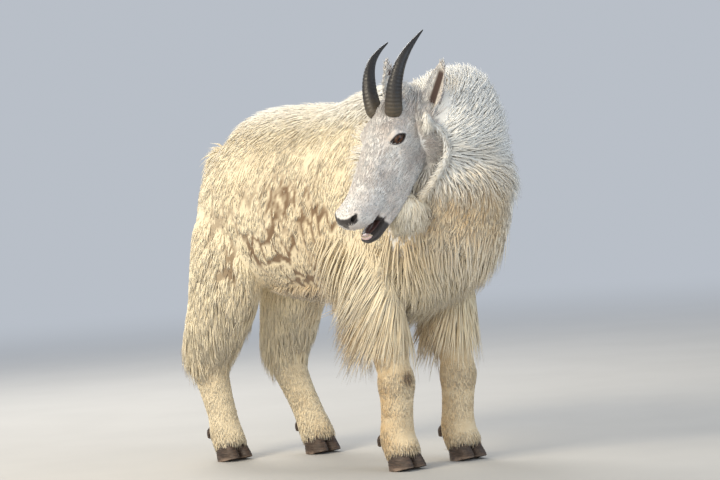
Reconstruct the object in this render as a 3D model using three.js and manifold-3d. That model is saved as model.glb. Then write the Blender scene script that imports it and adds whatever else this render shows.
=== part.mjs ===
// A mountain goat standing on four hooves, its head turned back over its right shoulder.
// Millimetres, +X towards the goat's chest, +Y to its left, +Z up. Until the last lines x = 0 lies
// between the fore hooves. The body is a set of lofted tubes, with its coat as flat tapered locks,
// parted into named pieces by thin cuts.
import * as THREE from "three";
import { mergeVertices } from "three/addons/utils/BufferGeometryUtils.js";
import Module from "manifold-3d";

const wasm = await Module();
wasm.setup();

// Driving sizes
const GAP = 0.35; // between neighbouring pieces
const WITHERS_TOP = 826; // top of the shoulder flesh, under the hump of hair
const BACK_TOP = 798;
const BELLY = 365;
const TRUNK_HALF_WIDTH = 166;
const RUMP_X = -655;
const CHEST_X = 250;
const FORE_FOOT_Y = 91;
const HIND_FOOT_Y = 85;
const HIND_RIGHT_X = -590;
const HIND_LEFT_X = -475;
const HOOF_HEIGHT = 36;
const HEAD_AT = [135, -192, 706]; // the point midway between the eyes
const HEAD_TURN = -90; // degrees about Z from facing +X
const HEAD_PITCH = 52; // degrees that the muzzle points below level
const HORN_RADIUS = 17;
const HORN_REACH = 176; // of the left horn, along the head
const EAR_LENGTH = 128;
const EYE_RADIUS = 19;
const JAW_OPEN = 9; // degrees
const LID = 3; // thickness of the lids
const SEED = 20;

const UP = new THREE.Vector3(0, 0, 1);
const AHEAD = new THREE.Vector3(1, 0, 0);
const vec = (a) => new THREE.Vector3(...a);
const rad = THREE.MathUtils.degToRad;
const mix = THREE.MathUtils.lerp;

// A repeatable random draw from 0 to 1.
let seed = SEED;
function draw() {
  seed = (seed + 0x6d2b79f5) | 0;
  let t = Math.imul(seed ^ (seed >>> 15), 1 | seed);
  t = (t + Math.imul(t ^ (t >>> 7), 61 | t)) ^ t;
  return ((t ^ (t >>> 14)) >>> 0) / 4294967296;
}
const vary = (amount) => 1 + amount * (2 * draw() - 1);

// A closed mesh from rings of points, each ring closed by the next, with a point at either end.
function ringsToGeometry(rings, first, last) {
  const sides = rings[0].length;
  const points = [first, ...rings.flat(), last];
  const index = [];
  const at = (ring, side) => 1 + ring * sides + (side % sides);
  for (let s = 0; s < sides; s++) {
    index.push(0, at(0, s + 1), at(0, s));
    for (let r = 0; r + 1 < rings.length; r++) {
      index.push(at(r, s), at(r, s + 1), at(r + 1, s));
      index.push(at(r, s + 1), at(r + 1, s + 1), at(r + 1, s));
    }
    index.push(at(rings.length - 1, s), at(rings.length - 1, s + 1), points.length - 1);
  }
  const geometry = new THREE.BufferGeometry().setFromPoints(points);
  geometry.setIndex(index);
  return geometry;
}

function toSolid(geometry) {
  const plain = geometry.clone();
  plain.deleteAttribute("normal");
  plain.deleteAttribute("uv");
  const merged = mergeVertices(plain, 1e-4);
  const mesh = new wasm.Mesh({
    numProp: 3,
    vertProperties: merged.attributes.position.array,
    triVerts: new Uint32Array(merged.index.array),
  });
  const solid = new wasm.Manifold(mesh);
  if (solid.volume() >= 0) return solid;
  mesh.triVerts = mesh.triVerts.map((v, i, all) => all[i - (i % 3) + (2 - (i % 3))]);
  return new wasm.Manifold(mesh);
}

function toGeometry(solid) {
  const mesh = solid.getMesh();
  const geometry = new THREE.BufferGeometry();
  const points = new Float32Array(mesh.numVert * 3);
  for (let i = 0; i < mesh.numVert; i++) {
    points.set(mesh.vertProperties.subarray(i * mesh.numProp, i * mesh.numProp + 3), i * 3);
  }
  geometry.setAttribute("position", new THREE.BufferAttribute(points, 3));
  geometry.setIndex(new THREE.BufferAttribute(mesh.triVerts, 1));
  geometry.computeVertexNormals();
  return geometry;
}

// A tube along smooth stations. A station is [x, y, z, half width, reach up, reach down]; up is the
// direction nearest to `lean`, and shape(u, angle) adds to the radius. at(u, angle, out) is a point
// of its surface, moved out by `out`. Its ends are domed by `dome`.
function loft({ stations, lean = UP, sides = 20, steps = 16, dome = 2, shape = () => 0 }) {
  const centre = new THREE.CatmullRomCurve3(stations.map((s) => vec(s.slice(0, 3))), false, "centripetal");
  const radii = new THREE.CatmullRomCurve3(stations.map((s) => vec(s.slice(3, 6))), false, "centripetal");
  const frame = (u) => {
    const along = centre.getTangent(u);
    const up = lean.clone().addScaledVector(along, -lean.dot(along)).normalize();
    return { middle: centre.getPoint(u), along, up, side: up.clone().cross(along) };
  };
  const at = (u, angle, out = 0) => {
    const { middle, up, side } = frame(u);
    const r = radii.getPoint(u);
    const grown = out + shape(u, angle);
    const reach = (Math.sin(angle) > 0 ? r.y : r.z) + grown;
    return middle.addScaledVector(side, (r.x + grown) * Math.cos(angle)).addScaledVector(up, reach * Math.sin(angle));
  };
  const build = (grow = 0) => {
    const rings = [];
    for (let i = 0; i <= steps; i++) {
      const ring = [];
      for (let s = 0; s < sides; s++) ring.push(at(i / steps, (s / sides) * 2 * Math.PI, grow));
      rings.push(ring);
    }
    const end = (u, way) => frame(u).middle.addScaledVector(frame(u).along, way * (grow + dome));
    return toSolid(ringsToGeometry(rings, end(0, -1), end(1, 1)));
  };
  return { at, build, frame, length: centre.getLength() };
}

// One flat, tapered lock along a path of points, `across` its wide way at each point.
function lock(path, across, width, thick, grow = 0) {
  const rings = [];
  for (let i = 0; i < path.length - 1; i++) {
    const s = i / (path.length - 1);
    const along = path[i + 1].clone().sub(path[Math.max(i - 1, 0)]).normalize();
    const wide = across[i].clone().addScaledVector(along, -across[i].dot(along)).normalize();
    const out = wide.clone().cross(along);
    const w = (width / 2) * Math.sqrt(1 - s * s) * (0.75 + s * (1 - s)) + 3 * grow;
    const t = (thick / 2) * (1 - 0.7 * s) + 2 * grow;
    const corner = (x, y) => path[i].clone().addScaledVector(wide, x).addScaledVector(out, y);
    rings.push([corner(w, -t / 2), corner(0, t), corner(-w, -t / 2)]);
  }
  const beyond = (i, j) => path[i].clone().addScaledVector(path[i].clone().sub(path[j]).normalize(), 6 * grow);
  return toSolid(ringsToGeometry(rings, beyond(0, 1), beyond(path.length - 1, path.length - 2)));
}

const value = (given, ...args) => (typeof given === "function" ? given(...args) : given);
const degrees = THREE.MathUtils.radToDeg;

// Locks in staggered rows on a tube: a row at each u, and in it a lock at each turn, an angle from
// the top of the tube to either side. A lock runs round the tube by `round` and along it by `along`,
// rises from -sink to lift, and past the turn `hang`, or past the tube's end, goes straight down.
function coat(tube, { us, turns, sides = [1, -1], length, width, thick = 16, sink = 14, lift = 20,
  round = 1, along = 0, hang = 105, points = 3, grow = 0, start = 0, skip = () => false }) {
  seed = SEED + start;
  const made = [];
  const half = turns.length > 1 ? (turns[1] - turns[0]) / 2 : 0;
  us.forEach((u, row) => {
    for (const side of sides) {
      for (const turn of turns) {
        const from = turn + (row % 2 ? half : 0) + half * 0.4 * (draw() - 0.5);
        const long = value(length, u, from, side) * vary(0.12);
        const wide = value(width, u, from, side) * vary(0.1);
        const swing = 0.25 * (draw() - 0.5);
        if (skip(u, from, side)) continue;
        const girth = tube.at(u, rad(90 - side * from)).distanceTo(tube.frame(u).middle);
        const slide = value(along, u, from, side) + (Math.abs(value(round, u, from, side)) > 0.5 ? swing : 0);
        const roll = value(round, u, from, side) + (value(round, u, from, side) === 0 ? swing : 0);
        const rise = value(lift, u, from, side);
        const path = [];
        const across = [];
        for (let k = 0; k <= points; k++) {
          const s = k / points;
          const uk = u + (slide * long * s) / tube.length;
          const turned = from + degrees((roll * long * s) / girth);
          const past = Math.max(0, uk - 0.97) * tube.length + rad(Math.max(0, turned - Math.max(hang, from))) * girth;
          const uIn = THREE.MathUtils.clamp(uk, 0.02, 0.97);
          const angle = rad(90 - side * Math.min(turned, Math.max(hang, from)));
          const out = mix(-sink, rise, Math.sin((s * Math.PI) / 2));
          const p = tube.at(uIn, angle, out);
          p.z -= past;
          path.push(p);
          const alongTube = tube.at(uIn + 0.02, angle, out).sub(tube.at(uIn - 0.02, angle, out));
          const roundTube = tube.at(uIn, angle + 0.1, out).sub(tube.at(uIn, angle - 0.1, out));
          across.push(Math.abs(roll) >= Math.abs(slide) ? alongTube.normalize() : roundTube.normalize());
        }
        made.push(lock(path, across, wide, thick, grow));
      }
    }
  });
  return made;
}

const union = (solids) => wasm.Manifold.union(solids);
const largest = (solid) => solid.decompose().sort((a, b) => b.volume() - a.volume())[0];
const mirrored = (side, stations) => stations.map(([x, y, ...rest]) => [x, side * y, ...rest]);

// A region bounded by planes, each [normal, point on it], on the side that the normal points to.
function region(planes, grow) {
  let solid = toSolid(new THREE.BoxGeometry(4000, 4000, 4000));
  for (const [normal, point] of planes) {
    const n = vec(normal).normalize();
    solid = solid.trimByPlane(n.toArray(), n.dot(vec(point)) - grow);
  }
  return solid;
}

const single = (u, from, side) => side < 0 && (from < 14 || from > 166);

// Trunk, from the rump to the chest
const trunk = loft({
  stations: [
    [RUMP_X, 0, 610, 30, 45, 60],
    [-632, 0, 600, 92, 105, 130],
    [-560, 0, 585, 138, 155, 180],
    [-460, 0, 580, 158, BACK_TOP - 587, 195],
    [-330, 0, 575, TRUNK_HALF_WIDTH, BACK_TOP - 575, 575 - BELLY],
    [-200, 0, 570, TRUNK_HALF_WIDTH + 2, BACK_TOP - 572, 580 - BELLY],
    [-80, 0, 570, TRUNK_HALF_WIDTH, WITHERS_TOP - 575, 585 - BELLY],
    [30, 0, 580, 156, WITHERS_TOP - 580, 585 - BELLY],
    [130, 0, 590, 140, 185, 190],
    [200, 0, 600, 108, 130, 140],
    [CHEST_X, 0, 605, 45, 50, 60],
  ],
  sides: 18,
  steps: 15,
});

// Neck: its base rises from the shoulders, its upper part bends to the goat's right
const neckBase = loft({
  stations: [
    [0, 0, 620, 122, 132, 140],
    [60, 2, 660, 132, 138, 145],
    [115, 6, 703, 126, 134, 145],
    [160, 8, 733, 104, 110, 118],
    [186, 8, 750, 60, 62, 66],
  ],
  sides: 16,
  steps: 8,
});
const neckTop = loft({
  stations: [
    [178, 62, 742, 50, 56, 60],
    [172, 20, 742, 92, 108, 112],
    [162, -40, 743, 94, 106, 114],
    [150, -92, 742, 84, 86, 100],
    [138, -140, 736, 62, 60, 72],
  ],
  sides: 16,
  steps: 7,
});

// Legs, each from the trunk down: a woolly upper length, a short-haired lower one and a cloven hoof
const LEGS = {
  foreleg_right: { side: -1, foot: [0, FORE_FOOT_Y], upper: foreUpper(), lower: foreLower() },
  foreleg_left: { side: 1, foot: [0, FORE_FOOT_Y], upper: foreUpper(), lower: foreLower() },
  hindleg_right: { side: -1, foot: [HIND_RIGHT_X, HIND_FOOT_Y], ...hindLeg(HIND_RIGHT_X, -45) },
  hindleg_left: { side: 1, foot: [HIND_LEFT_X, HIND_FOOT_Y], ...hindLeg(HIND_LEFT_X, -95) },
};

function foreUpper() {
  return [
    [-30, 95, 520, 60, 85, 85],
    [-28, 98, 440, 58, 74, 72],
    [-18, 98, 350, 50, 57, 56],
    [-8, 96, 280, 45, 48, 48],
    [-2, 95, 232, 42, 44, 44],
  ];
}

function foreLower() {
  return [
    [-6, FORE_FOOT_Y + 4, 290, 26, 28, 26],
    [-1, FORE_FOOT_Y + 3, 248, 34, 35, 34],
    [4, FORE_FOOT_Y + 2, 195, 44, 47, 42],
    [3, FORE_FOOT_Y + 1, 155, 40, 41, 40],
    [0, FORE_FOOT_Y, 110, 38, 38, 41],
    [-1, FORE_FOOT_Y, 74, 41, 39, 46],
    [5, FORE_FOOT_Y, 50, 42, 44, 42],
    [11, FORE_FOOT_Y, 31, 42, 44, 38],
  ];
}

// A hind leg whose hock lies behind its hoof, by -reach.
function hindLeg(footX, reach) {
  const hock = footX + reach;
  const hip = -520;
  return {
    upper: [
      [hip, 62, 610, 60, 125, 100],
      [mix(hip, hock, 0.12), 82, 525, 72, 132, 100],
      [mix(hip, hock, 0.3), 92, 430, 74, 122, 88],
      [mix(hip, hock, 0.62), 92, 345, 66, 96, 68],
      [mix(hip, hock, 0.92), 90, 278, 56, 74, 58],
      [hock + 4, 90, 236, 50, 60, 54],
    ],
    lower: [
      [hock + 4, 90, 296, 28, 32, 30],
      [hock + 1, 90, 255, 36, 40, 40],
      [mix(hock, footX, 0.08), 88, 212, 43, 46, 45],
      [mix(hock, footX, 0.45), 86, 150, 39, 39, 40],
      [mix(hock, footX, 0.75), HIND_FOOT_Y, 104, 37, 37, 39],
      [mix(hock, footX, 0.92), HIND_FOOT_Y, 74, 40, 38, 44],
      [footX + 3, HIND_FOOT_Y, 50, 41, 43, 41],
      [footX + 10, HIND_FOOT_Y, 31, 41, 44, 38],
    ],
  };
}

for (const leg of Object.values(LEGS)) {
  const { side } = leg;
  leg.upperTube = loft({ stations: mirrored(side, leg.upper), lean: AHEAD, sides: 12, steps: 6 });
  leg.lowerTube = loft({ stations: mirrored(side, leg.lower), lean: AHEAD, sides: 12, steps: 10 });
}

// Two claws, joined behind the cleft, flat on the ground
function hoof([x, y], side, grow = 0) {
  const claw = (inner) => {
    const middle = side * (y + inner * 16);
    return loft({
      stations: [
        [x + 6, middle, HOOF_HEIGHT + 12, 12, 15, 15],
        [x + 10, middle, HOOF_HEIGHT, 17, 24, 25],
        [x + 15, middle + side * inner, 18, 19, 32, 28],
        [x + 20, middle + side * inner * 3, 0, 20, 39, 29],
        [x + 24, middle + side * inner * 3, -14, 20, 41, 30],
      ],
      lean: AHEAD,
      sides: 8,
      steps: 3,
      dome: 0,
    }).build(grow);
  };
  return union([claw(1), claw(-1)]).trimByPlane([0, 0, 1], 0);
}

function dewclaw([x, y], side, inner, grow = 0) {
  return loft({
    stations: [
      [x - 22, side * (y + inner * 17), 76, 7, 7, 7],
      [x - 36, side * (y + inner * 18), 66, 9, 9, 8],
      [x - 44, side * (y + inner * 18), 52, 4, 4, 4],
    ],
    lean: UP,
    sides: 6,
    steps: 3,
  }).build(grow);
}

// The head's own frame: ahead towards the muzzle, left, and up through the crown
const headMatrix = new THREE.Matrix4()
  .makeTranslation(...HEAD_AT)
  .multiply(new THREE.Matrix4().makeRotationZ(rad(HEAD_TURN)))
  .multiply(new THREE.Matrix4().makeRotationY(rad(HEAD_PITCH)));
const inHead = (a, l, u) => new THREE.Vector3(a, l, u).applyMatrix4(headMatrix);
const headWay = (a, l, u) => new THREE.Vector3(a, l, u).transformDirection(headMatrix);
const headStations = (rows) => rows.map(([a, u, ...radii]) => [...inHead(a, 0, u).toArray(), ...radii]);
const CROWN = headWay(0, 0, 1);

// A soft swelling at station `i` of a head tube and at an angle from its left side, on both sides.
const HEAD_ROWS = [
  [-118, -24, 30, 30, 34],
  [-98, -22, 48, 55, 62],
  [-62, -18, 53, 64, 78],
  [-25, -15, 53, 65, 84],
  [10, -14, 50, 59, 86],
  [45, -12, 46, 51, 80],
  [80, -12, 42, 44, 67],
  [115, -12, 39, 38, 54],
  [150, -14, 38, 36, 43],
  [180, -14, 37, 33, 37],
  [200, -14, 32, 27, 30],
  [212, -15, 20, 15, 18],
];
const swelling = (u, angle, i, at, wide, tall, height) => {
  const along = (u * (HEAD_ROWS.length - 1) - i) / wide;
  const turn = Math.abs(degrees(Math.atan2(Math.sin(angle), Math.abs(Math.cos(angle)))) - at) / tall;
  return height * Math.exp(-along * along - turn * turn);
};
const skull = loft({
  stations: headStations(HEAD_ROWS),
  lean: CROWN,
  sides: 18,
  steps: 21,
  shape: (u, angle) =>
    swelling(u, angle, 3.7, 18, 0.7, 22, 9) + // eye socket
    swelling(u, angle, 3.5, 42, 0.8, 18, 8) + // brow
    swelling(u, angle, 4.4, -14, 1.2, 14, 4) + // cheek bone
    swelling(u, angle, 5.6, 12, 0.8, 20, -4) + // tear pit
    swelling(u, angle, 2.9, -50, 1.1, 20, 5) + // jaw muscle
    swelling(u, angle, 9.4, 28, 0.6, 22, 4) + // nostril wing
    swelling(u, angle, 8.8, -40, 0.9, 25, 4) + // upper lip
    swelling(u, angle, 8, -90, 1.6, 24, -5), // palate
});

// Lower jaw, its front dropped by JAW_OPEN from the palate
const drop = (a) => Math.tan(rad(JAW_OPEN)) * Math.max(0, a - 110);
const jawTube = loft({
  stations: headStations([
    [20, -74, 30, 12, 24],
    [70, -78, 35, 18, 26],
    [110, -76, 34, 17, 24],
    [140, -70 - drop(140), 31, 12, 21],
    [165, -68 - drop(165), 29, 10, 20],
    [183, -67 - drop(183), 25, 9, 17],
    [195, -64 - drop(195), 13, 6, 9],
  ]),
  lean: CROWN,
  sides: 14,
  steps: 10,
});

// Tongue and the gum that holds the lower front teeth, at the front of the jaw
const tongueTube = loft({
  stations: headStations([
    [120, -63, 14, 4, 8],
    [150, -62 - drop(150), 17, 5, 8],
    [172, -60 - drop(172), 16, 6, 8],
    [188, -58 - drop(188), 11, 5, 6],
    [193, -58 - drop(193), 6, 3, 4],
  ]),
  lean: CROWN,
  sides: 8,
  steps: 5,
});

// An eyeball, the lids as a shell round it and the almond opening between them
const EYE_AT = [0, 38, 7];
function eyeball(side, grow = 0) {
  const ball = new THREE.SphereGeometry(EYE_RADIUS + grow, 14, 9);
  ball.translate(...inHead(EYE_AT[0], side * EYE_AT[1], EYE_AT[2]).toArray());
  return toSolid(ball);
}
function eyeOpening(side) {
  const almond = new THREE.Shape();
  almond.moveTo(-15, -9);
  almond.quadraticCurveTo(-11, 17, 15, 9);
  almond.quadraticCurveTo(9, -14, -15, -9);
  const prism = new THREE.ExtrudeGeometry(almond, { depth: 40, bevelEnabled: false, curveSegments: 6 });
  const outward = headWay(0.1, side * 0.97, 0.2);
  const ahead = headWay(1, 0, 0).addScaledVector(outward, -headWay(1, 0, 0).dot(outward)).normalize();
  const across = outward.clone().cross(ahead);
  if (across.dot(CROWN) < 0) prism.scale(1, -1, 1);
  prism.applyMatrix4(new THREE.Matrix4().makeBasis(ahead, across, outward));
  prism.translate(...inHead(EYE_AT[0], side * EYE_AT[1], EYE_AT[2]).toArray());
  return toSolid(prism);
}

function nostril(side) {
  const pit = new THREE.SphereGeometry(1, 10, 8);
  pit.scale(12, 5, 6);
  pit.rotateZ(-side * rad(38));
  pit.rotateY(rad(20));
  pit.translate(196, side * 22, -2);
  pit.applyMatrix4(headMatrix);
  return toSolid(pit);
}

// A horn: a tapering curve with growth rings over its lower half
function horn(side, grow = 0) {
  const path = [
    [8, -3, -22, 1],
    [0, 0, 0, 1],
    [-33, 9, 28, 0.88],
    [-72, 17, 46, 0.68],
    [-108, 23, 51, 0.47],
    [-142, 24, 46, 0.26],
    [-HORN_REACH, 21, 36, 0.07],
  ];
  const size = side > 0 ? 1 : 0.88;
  const thick = (value, i) => (i < 3 ? value : HORN_RADIUS * value);
  return loft({
    stations: path.map(([a, l, u, r]) => [
      ...inHead(-54 + size * a, side * (30 + size * l), 43 + size * u).toArray(), r, 1.12 * r, 1.12 * r].map(thick)),
    lean: CROWN,
    sides: 10,
    steps: 20,
    dome: 1,
    shape: (u) => (u > 0.14 && u < 0.5 ? 1.2 * Math.sin(u * 20 * Math.PI) * (0.6 - u) : 0),
  }).build(grow);
}

// An ear: a leaf-shaped cup, hollow towards the side. The left one stands out wider.
const EAR_WAY = { left: [-0.75, 0.42, 0.47], right: [-0.78, -0.12, 0.56] };
function ear(side, grow = 0) {
  const root = inHead(-76, side * 46, -26);
  const way = headWay(...(side > 0 ? EAR_WAY.left : EAR_WAY.right));
  const open = headWay(0.2, side * 0.9, -0.3);
  const leaf = (scale, shift, from) => [
    [-0.1, 10, 9], [0.1, 15, 11], [0.35, 20, 13], [0.6, 20, 12], [0.82, 13, 9], [1, 3, 3],
  ].map(([s, w, d]) => {
    const middle = root.clone().addScaledVector(way, EAR_LENGTH * mix(from, 1, s) * (scale < 1 ? 0.94 : 1));
    return [...middle.addScaledVector(open, shift * d).toArray(), w * scale, d * scale, d * scale];
  });
  const outer = loft({ stations: leaf(1, 0, 0), lean: open, sides: 12, steps: 9, dome: 1 }).build(grow);
  if (grow) return outer;
  return outer.subtract(loft({ stations: leaf(0.74, 0.72, 0.22), lean: open, sides: 10, steps: 7 }).build());
}

// Beard: a ball of long hair under the jaw's back, a short core with locks that hang round it
const BEARD_AT = inHead(80, 8, -104);
const beardTube = loft({
  stations: [
    [...BEARD_AT.clone().add(vec([0, -6, 22])).toArray(), 22, 22, 22],
    [...BEARD_AT.toArray(), 42, 40, 42],
    [...BEARD_AT.clone().add(vec([4, 8, -28])).toArray(), 40, 38, 40],
    [...BEARD_AT.clone().add(vec([6, 10, -46])).toArray(), 20, 20, 22],
  ],
  lean: AHEAD,
  sides: 12,
  steps: 6,
});
function beard(grow = 0) {
  const locks = coat(beardTube, {
    us: [0.5], turns: [0, 60, 120, 180], length: 72, width: 44, thick: 14, sink: 10, lift: 8, grow, start: 11,
    round: 0, along: 1, hang: 400, skip: single,
  });
  return union([beardTube.build(grow), ...locks]);
}

// Tail, short and hung with locks
const tailTube = loft({
  stations: [
    [-606, 0, 706, 24, 20, 20],
    [-644, 0, 688, 30, 22, 22],
    [-664, 0, 645, 27, 19, 19],
    [-668, 0, 602, 12, 9, 9],
  ],
  lean: UP,
  sides: 10,
  steps: 8,
});
function tail(grow = 0) {
  const locks = coat(tailTube, {
    us: [0.6], turns: [0, 60, 120, 180], skip: single, length: 85, width: 32, thick: 12, sink: 8, lift: 10, round: 0, along: 1,
    hang: 400, grow, start: 31,
  });
  return union([tailTube.build(grow), ...locks]);
}

const solids = {};
const headGrown = skull.build(GAP);
const jawGrown = jawTube.build(GAP);
for (const [name, leg] of Object.entries(LEGS)) {
  solids[name + "_hoof"] = hoof(leg.foot, leg.side);
  for (const [which, inner] of [["outer", 1], ["inner", -1]]) {
    solids[`${name}_dewclaw_${which}`] = dewclaw(leg.foot, leg.side, inner).subtract(leg.lowerTube.build(GAP));
  }
  solids[name + "_lower"] = leg.lowerTube.build().subtract(hoof(leg.foot, leg.side, GAP));
}

for (const [which, side] of [["right", -1], ["left", 1]]) {
  solids["eye_" + which] = eyeball(side);
  solids["horn_" + which] = horn(side).subtract(headGrown);
  solids["ear_" + which] = ear(side).subtract(headGrown);
}
const sockets = [-1, 1].flatMap((side) => [eyeball(side, GAP), eyeOpening(side), nostril(side)]);
solids.head = union([skull.build(), eyeball(1, LID), eyeball(-1, LID)]).subtract(union(sockets));
solids.jaw = jawTube.build().subtract(headGrown);
solids.tongue = tongueTube.build().subtract(union([headGrown, jawGrown]));
solids.beard = beard().subtract(union([headGrown, jawGrown]));
solids.tail = tail();

// The coat of the body: down the flanks, back along the neck, and in skirts under belly and chest
const locks = [
  ...coat(trunk, {
    us: [0.16, 0.32, 0.48, 0.64], turns: [20, 66], length: 190, width: 128, thick: 30, along: -0.3, start: 1,
    lift: (u, from) => mix(26, 12, from / 90),
  }),
  ...coat(trunk, {
    us: [0.31, 0.4, 0.49], turns: [118], length: 120, width: 104, thick: 22, lift: 6, hang: 110, along: -0.15,
    start: 2,
  }),
  ...coat(trunk, {
    us: [0.84, 0.91], turns: [75, 115, 155], length: 195, width: 84, thick: 24, lift: 16, hang: 60, along: -0.35,
    start: 3,
  }),
  ...coat(trunk, {
    us: [0.56, 0.63, 0.7], turns: [180], sides: [1], length: 180, width: 90, thick: 24, lift: 4, hang: 60,
    along: -0.3, start: 4,
  }),
  ...coat(trunk, {
    us: [0.46], turns: [150, 175], length: 185, width: 84, thick: 24, lift: 4, hang: 60, along: -0.3, start: 13,
  }),
  ...coat(neckBase, {
    us: [0.3, 0.62], turns: [18, 72], length: 140, width: 118, thick: 28, lift: 28, along: -0.8, round: 0.5,
    start: 5,
  }),
  ...coat(neckTop, {
    us: [0.42, 0.8], turns: [15, 65, 115], length: 120, width: 92, thick: 26, lift: 30, along: -0.8, round: 0.4,
    start: 6,
  }),
];
Object.values(LEGS).forEach((leg, i) => {
  const hind = i > 1;
  locks.push(...coat(leg.upperTube, {
    us: hind ? [0.42, 0.7] : [0.45, 0.74], turns: hind ? [0, 75, 150] : [0, 90, 180], skip: single,
    length: (u, from) => (hind ? mix(150, 95, from / 180) : 78), width: hind ? 88 : 66, thick: hind ? 20 : 15,
    sink: hind ? 12 : 9, lift: hind ? 14 : 4, along: 1, round: 0, hang: 400, start: 17 + i,
  }));
});

// All the wool as one solid, cleared of what it meets, then parted by planes
const wool = union([
  trunk.build(),
  neckBase.build(),
  neckTop.build(),
  ...Object.values(LEGS).map((leg) => leg.upperTube.build()),
  ...locks,
]);
const grownNeighbours = union([headGrown, jawGrown, beard(GAP), tail(GAP),
  ...[-1, 1].flatMap((side) => [horn(side, GAP), ear(side, GAP)]),
  ...Object.values(LEGS).map((leg) => leg.lowerTube.build(GAP))]);
let rest = wool.subtract(grownNeighbours);

const NECK_CUT = [[0.75, 0, 0.66], [78, 0, 672]];
const legRegion = (side, x0, x1, inner, rise) => [
  [[1, 0, 0], [x0, 0, 0]],
  [[-1, 0, 0], [x1, 0, 0]],
  [[0, side, 0], [0, side * inner, 0]],
  [[0, side * rise, -1], [0, side * inner, 352]],
];
const REGIONS = {
  neck: [NECK_CUT],
  foreleg_right_upper: legRegion(-1, -160, 150, 30, 0.5),
  foreleg_left_upper: legRegion(1, -160, 150, 30, 0.5),
  hindleg_right_upper: legRegion(-1, -760, -392, 12, 1),
  hindleg_left_upper: legRegion(1, -760, -392, 12, 1),
  rump: [[[-1, 0, 0], [-400, 0, 0]]],
  barrel: [[[-1, 0, 0], [-165, 0, 0]]],
};
for (const [name, planes] of Object.entries(REGIONS)) {
  solids[name] = rest.intersect(region(planes, -GAP / 2));
  rest = rest.subtract(region(planes, GAP / 2));
}
solids.shoulders = rest;

// Looks of the pieces, by the end of the name
const LOOKS = [
  [/hoof|dewclaw/, 0x2e261f, 0.5],
  [/horn/, 0x1d1b1a, 0.4],
  [/eye/, 0x1b1009, 0.08],
  [/tongue/, 0xd9b7b0, 0.5],
  [/./, 0xe9dfca, 0.95],
];
const looks = LOOKS.map(([, color, roughness]) => new THREE.MeshStandardMaterial({ color, roughness, metalness: 0 }));

const goat = new THREE.Group();
for (const [name, solid] of Object.entries(solids)) {
  const look = looks[LOOKS.findIndex(([pattern]) => pattern.test(name))].clone();
  const mesh = new THREE.Mesh(toGeometry(largest(solid)), look);
  mesh.name = name;
  goat.add(mesh);
}

// The origin goes to the middle of the ground that the animal covers.
const box = new THREE.Box3().setFromObject(goat);
const middle = box.getCenter(new THREE.Vector3());
goat.position.set(-middle.x, -middle.y, -box.min.z);

export default goat;
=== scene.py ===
"""A mountain goat in its half-shed summer coat, as a still, life-size model.

Lengths in the tables are millimetres in the goat's own frame: +X from rump to chest, +Y to its
left, +Z up, zero on the ground midway between the fore hooves. put() brings them to the model's
frame, in metres.
"""

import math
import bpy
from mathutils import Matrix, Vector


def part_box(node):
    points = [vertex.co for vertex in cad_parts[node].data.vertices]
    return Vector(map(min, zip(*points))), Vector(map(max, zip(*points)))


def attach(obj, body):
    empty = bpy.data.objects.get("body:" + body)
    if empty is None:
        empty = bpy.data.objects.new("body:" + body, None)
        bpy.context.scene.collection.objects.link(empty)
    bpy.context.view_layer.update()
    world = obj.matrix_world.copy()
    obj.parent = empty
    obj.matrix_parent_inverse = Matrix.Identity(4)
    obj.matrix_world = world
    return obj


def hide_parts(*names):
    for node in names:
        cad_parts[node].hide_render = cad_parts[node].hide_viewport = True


bl_info = {
    "name": "Mountain goat",
    "version": (1, 0, 0),
    "blender": (4, 5, 0),
    "location": "View3D > Sidebar > Goat",
    "description": "A standing mountain goat: skin, eyes, horns, hooves and a coat of solid tufts",
    "category": "Add Mesh",
}

import bpy
import numpy as np
from bpy.props import FloatProperty, FloatVectorProperty, IntProperty, PointerProperty
from mathutils import Matrix

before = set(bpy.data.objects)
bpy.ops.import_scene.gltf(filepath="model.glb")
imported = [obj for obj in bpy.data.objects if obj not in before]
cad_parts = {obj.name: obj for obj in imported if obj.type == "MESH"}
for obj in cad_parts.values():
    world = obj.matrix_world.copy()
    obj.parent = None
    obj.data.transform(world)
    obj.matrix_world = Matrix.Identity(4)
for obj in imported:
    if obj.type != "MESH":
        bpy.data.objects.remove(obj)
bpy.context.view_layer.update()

LEG_NAMES = ("foreleg_right", "foreleg_left", "hindleg_right", "hindleg_left")
FORE_HOOF_BACK = -13.77
RIGHT_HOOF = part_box("foreleg_right_hoof")
LEFT_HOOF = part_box("foreleg_left_hoof")
SHIFT = np.array([
    1000 * RIGHT_HOOF[0].x - FORE_HOOF_BACK,
    500 * (RIGHT_HOOF[0].y + LEFT_HOOF[1].y),
    0.0,
])

UP = np.array([0.0, 0.0, 1.0])
AHEAD = np.array([1.0, 0.0, 0.0])
LEFT = np.array([0.0, 1.0, 0.0])

# Flesh under the coat, as rows of (x, y, z, half width, reach up, reach down)
TRUNK = [
    (-655, 0, 610, 30, 45, 60), (-632, 0, 600, 92, 105, 130), (-560, 0, 585, 138, 155, 180),
    (-460, 0, 580, 158, 211, 195), (-330, 0, 575, 166, 223, 210), (-200, 0, 570, 168, 226, 215),
    (-80, 0, 570, 166, 251, 220), (30, 0, 580, 156, 246, 220), (130, 0, 590, 140, 185, 190),
    (200, 0, 600, 108, 130, 140), (250, 0, 605, 45, 50, 60),
]
NECK_BASE = [
    (0, 0, 620, 122, 132, 140), (60, 2, 660, 132, 138, 145), (115, 6, 703, 126, 134, 145),
    (160, 8, 733, 104, 110, 118), (186, 8, 750, 60, 62, 66),
]
NECK_TOP = [
    (178, 62, 742, 50, 56, 60), (172, 20, 742, 92, 108, 112), (162, -40, 743, 94, 106, 114),
    (150, -92, 742, 84, 86, 100), (138, -140, 736, 62, 60, 72),
]
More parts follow.
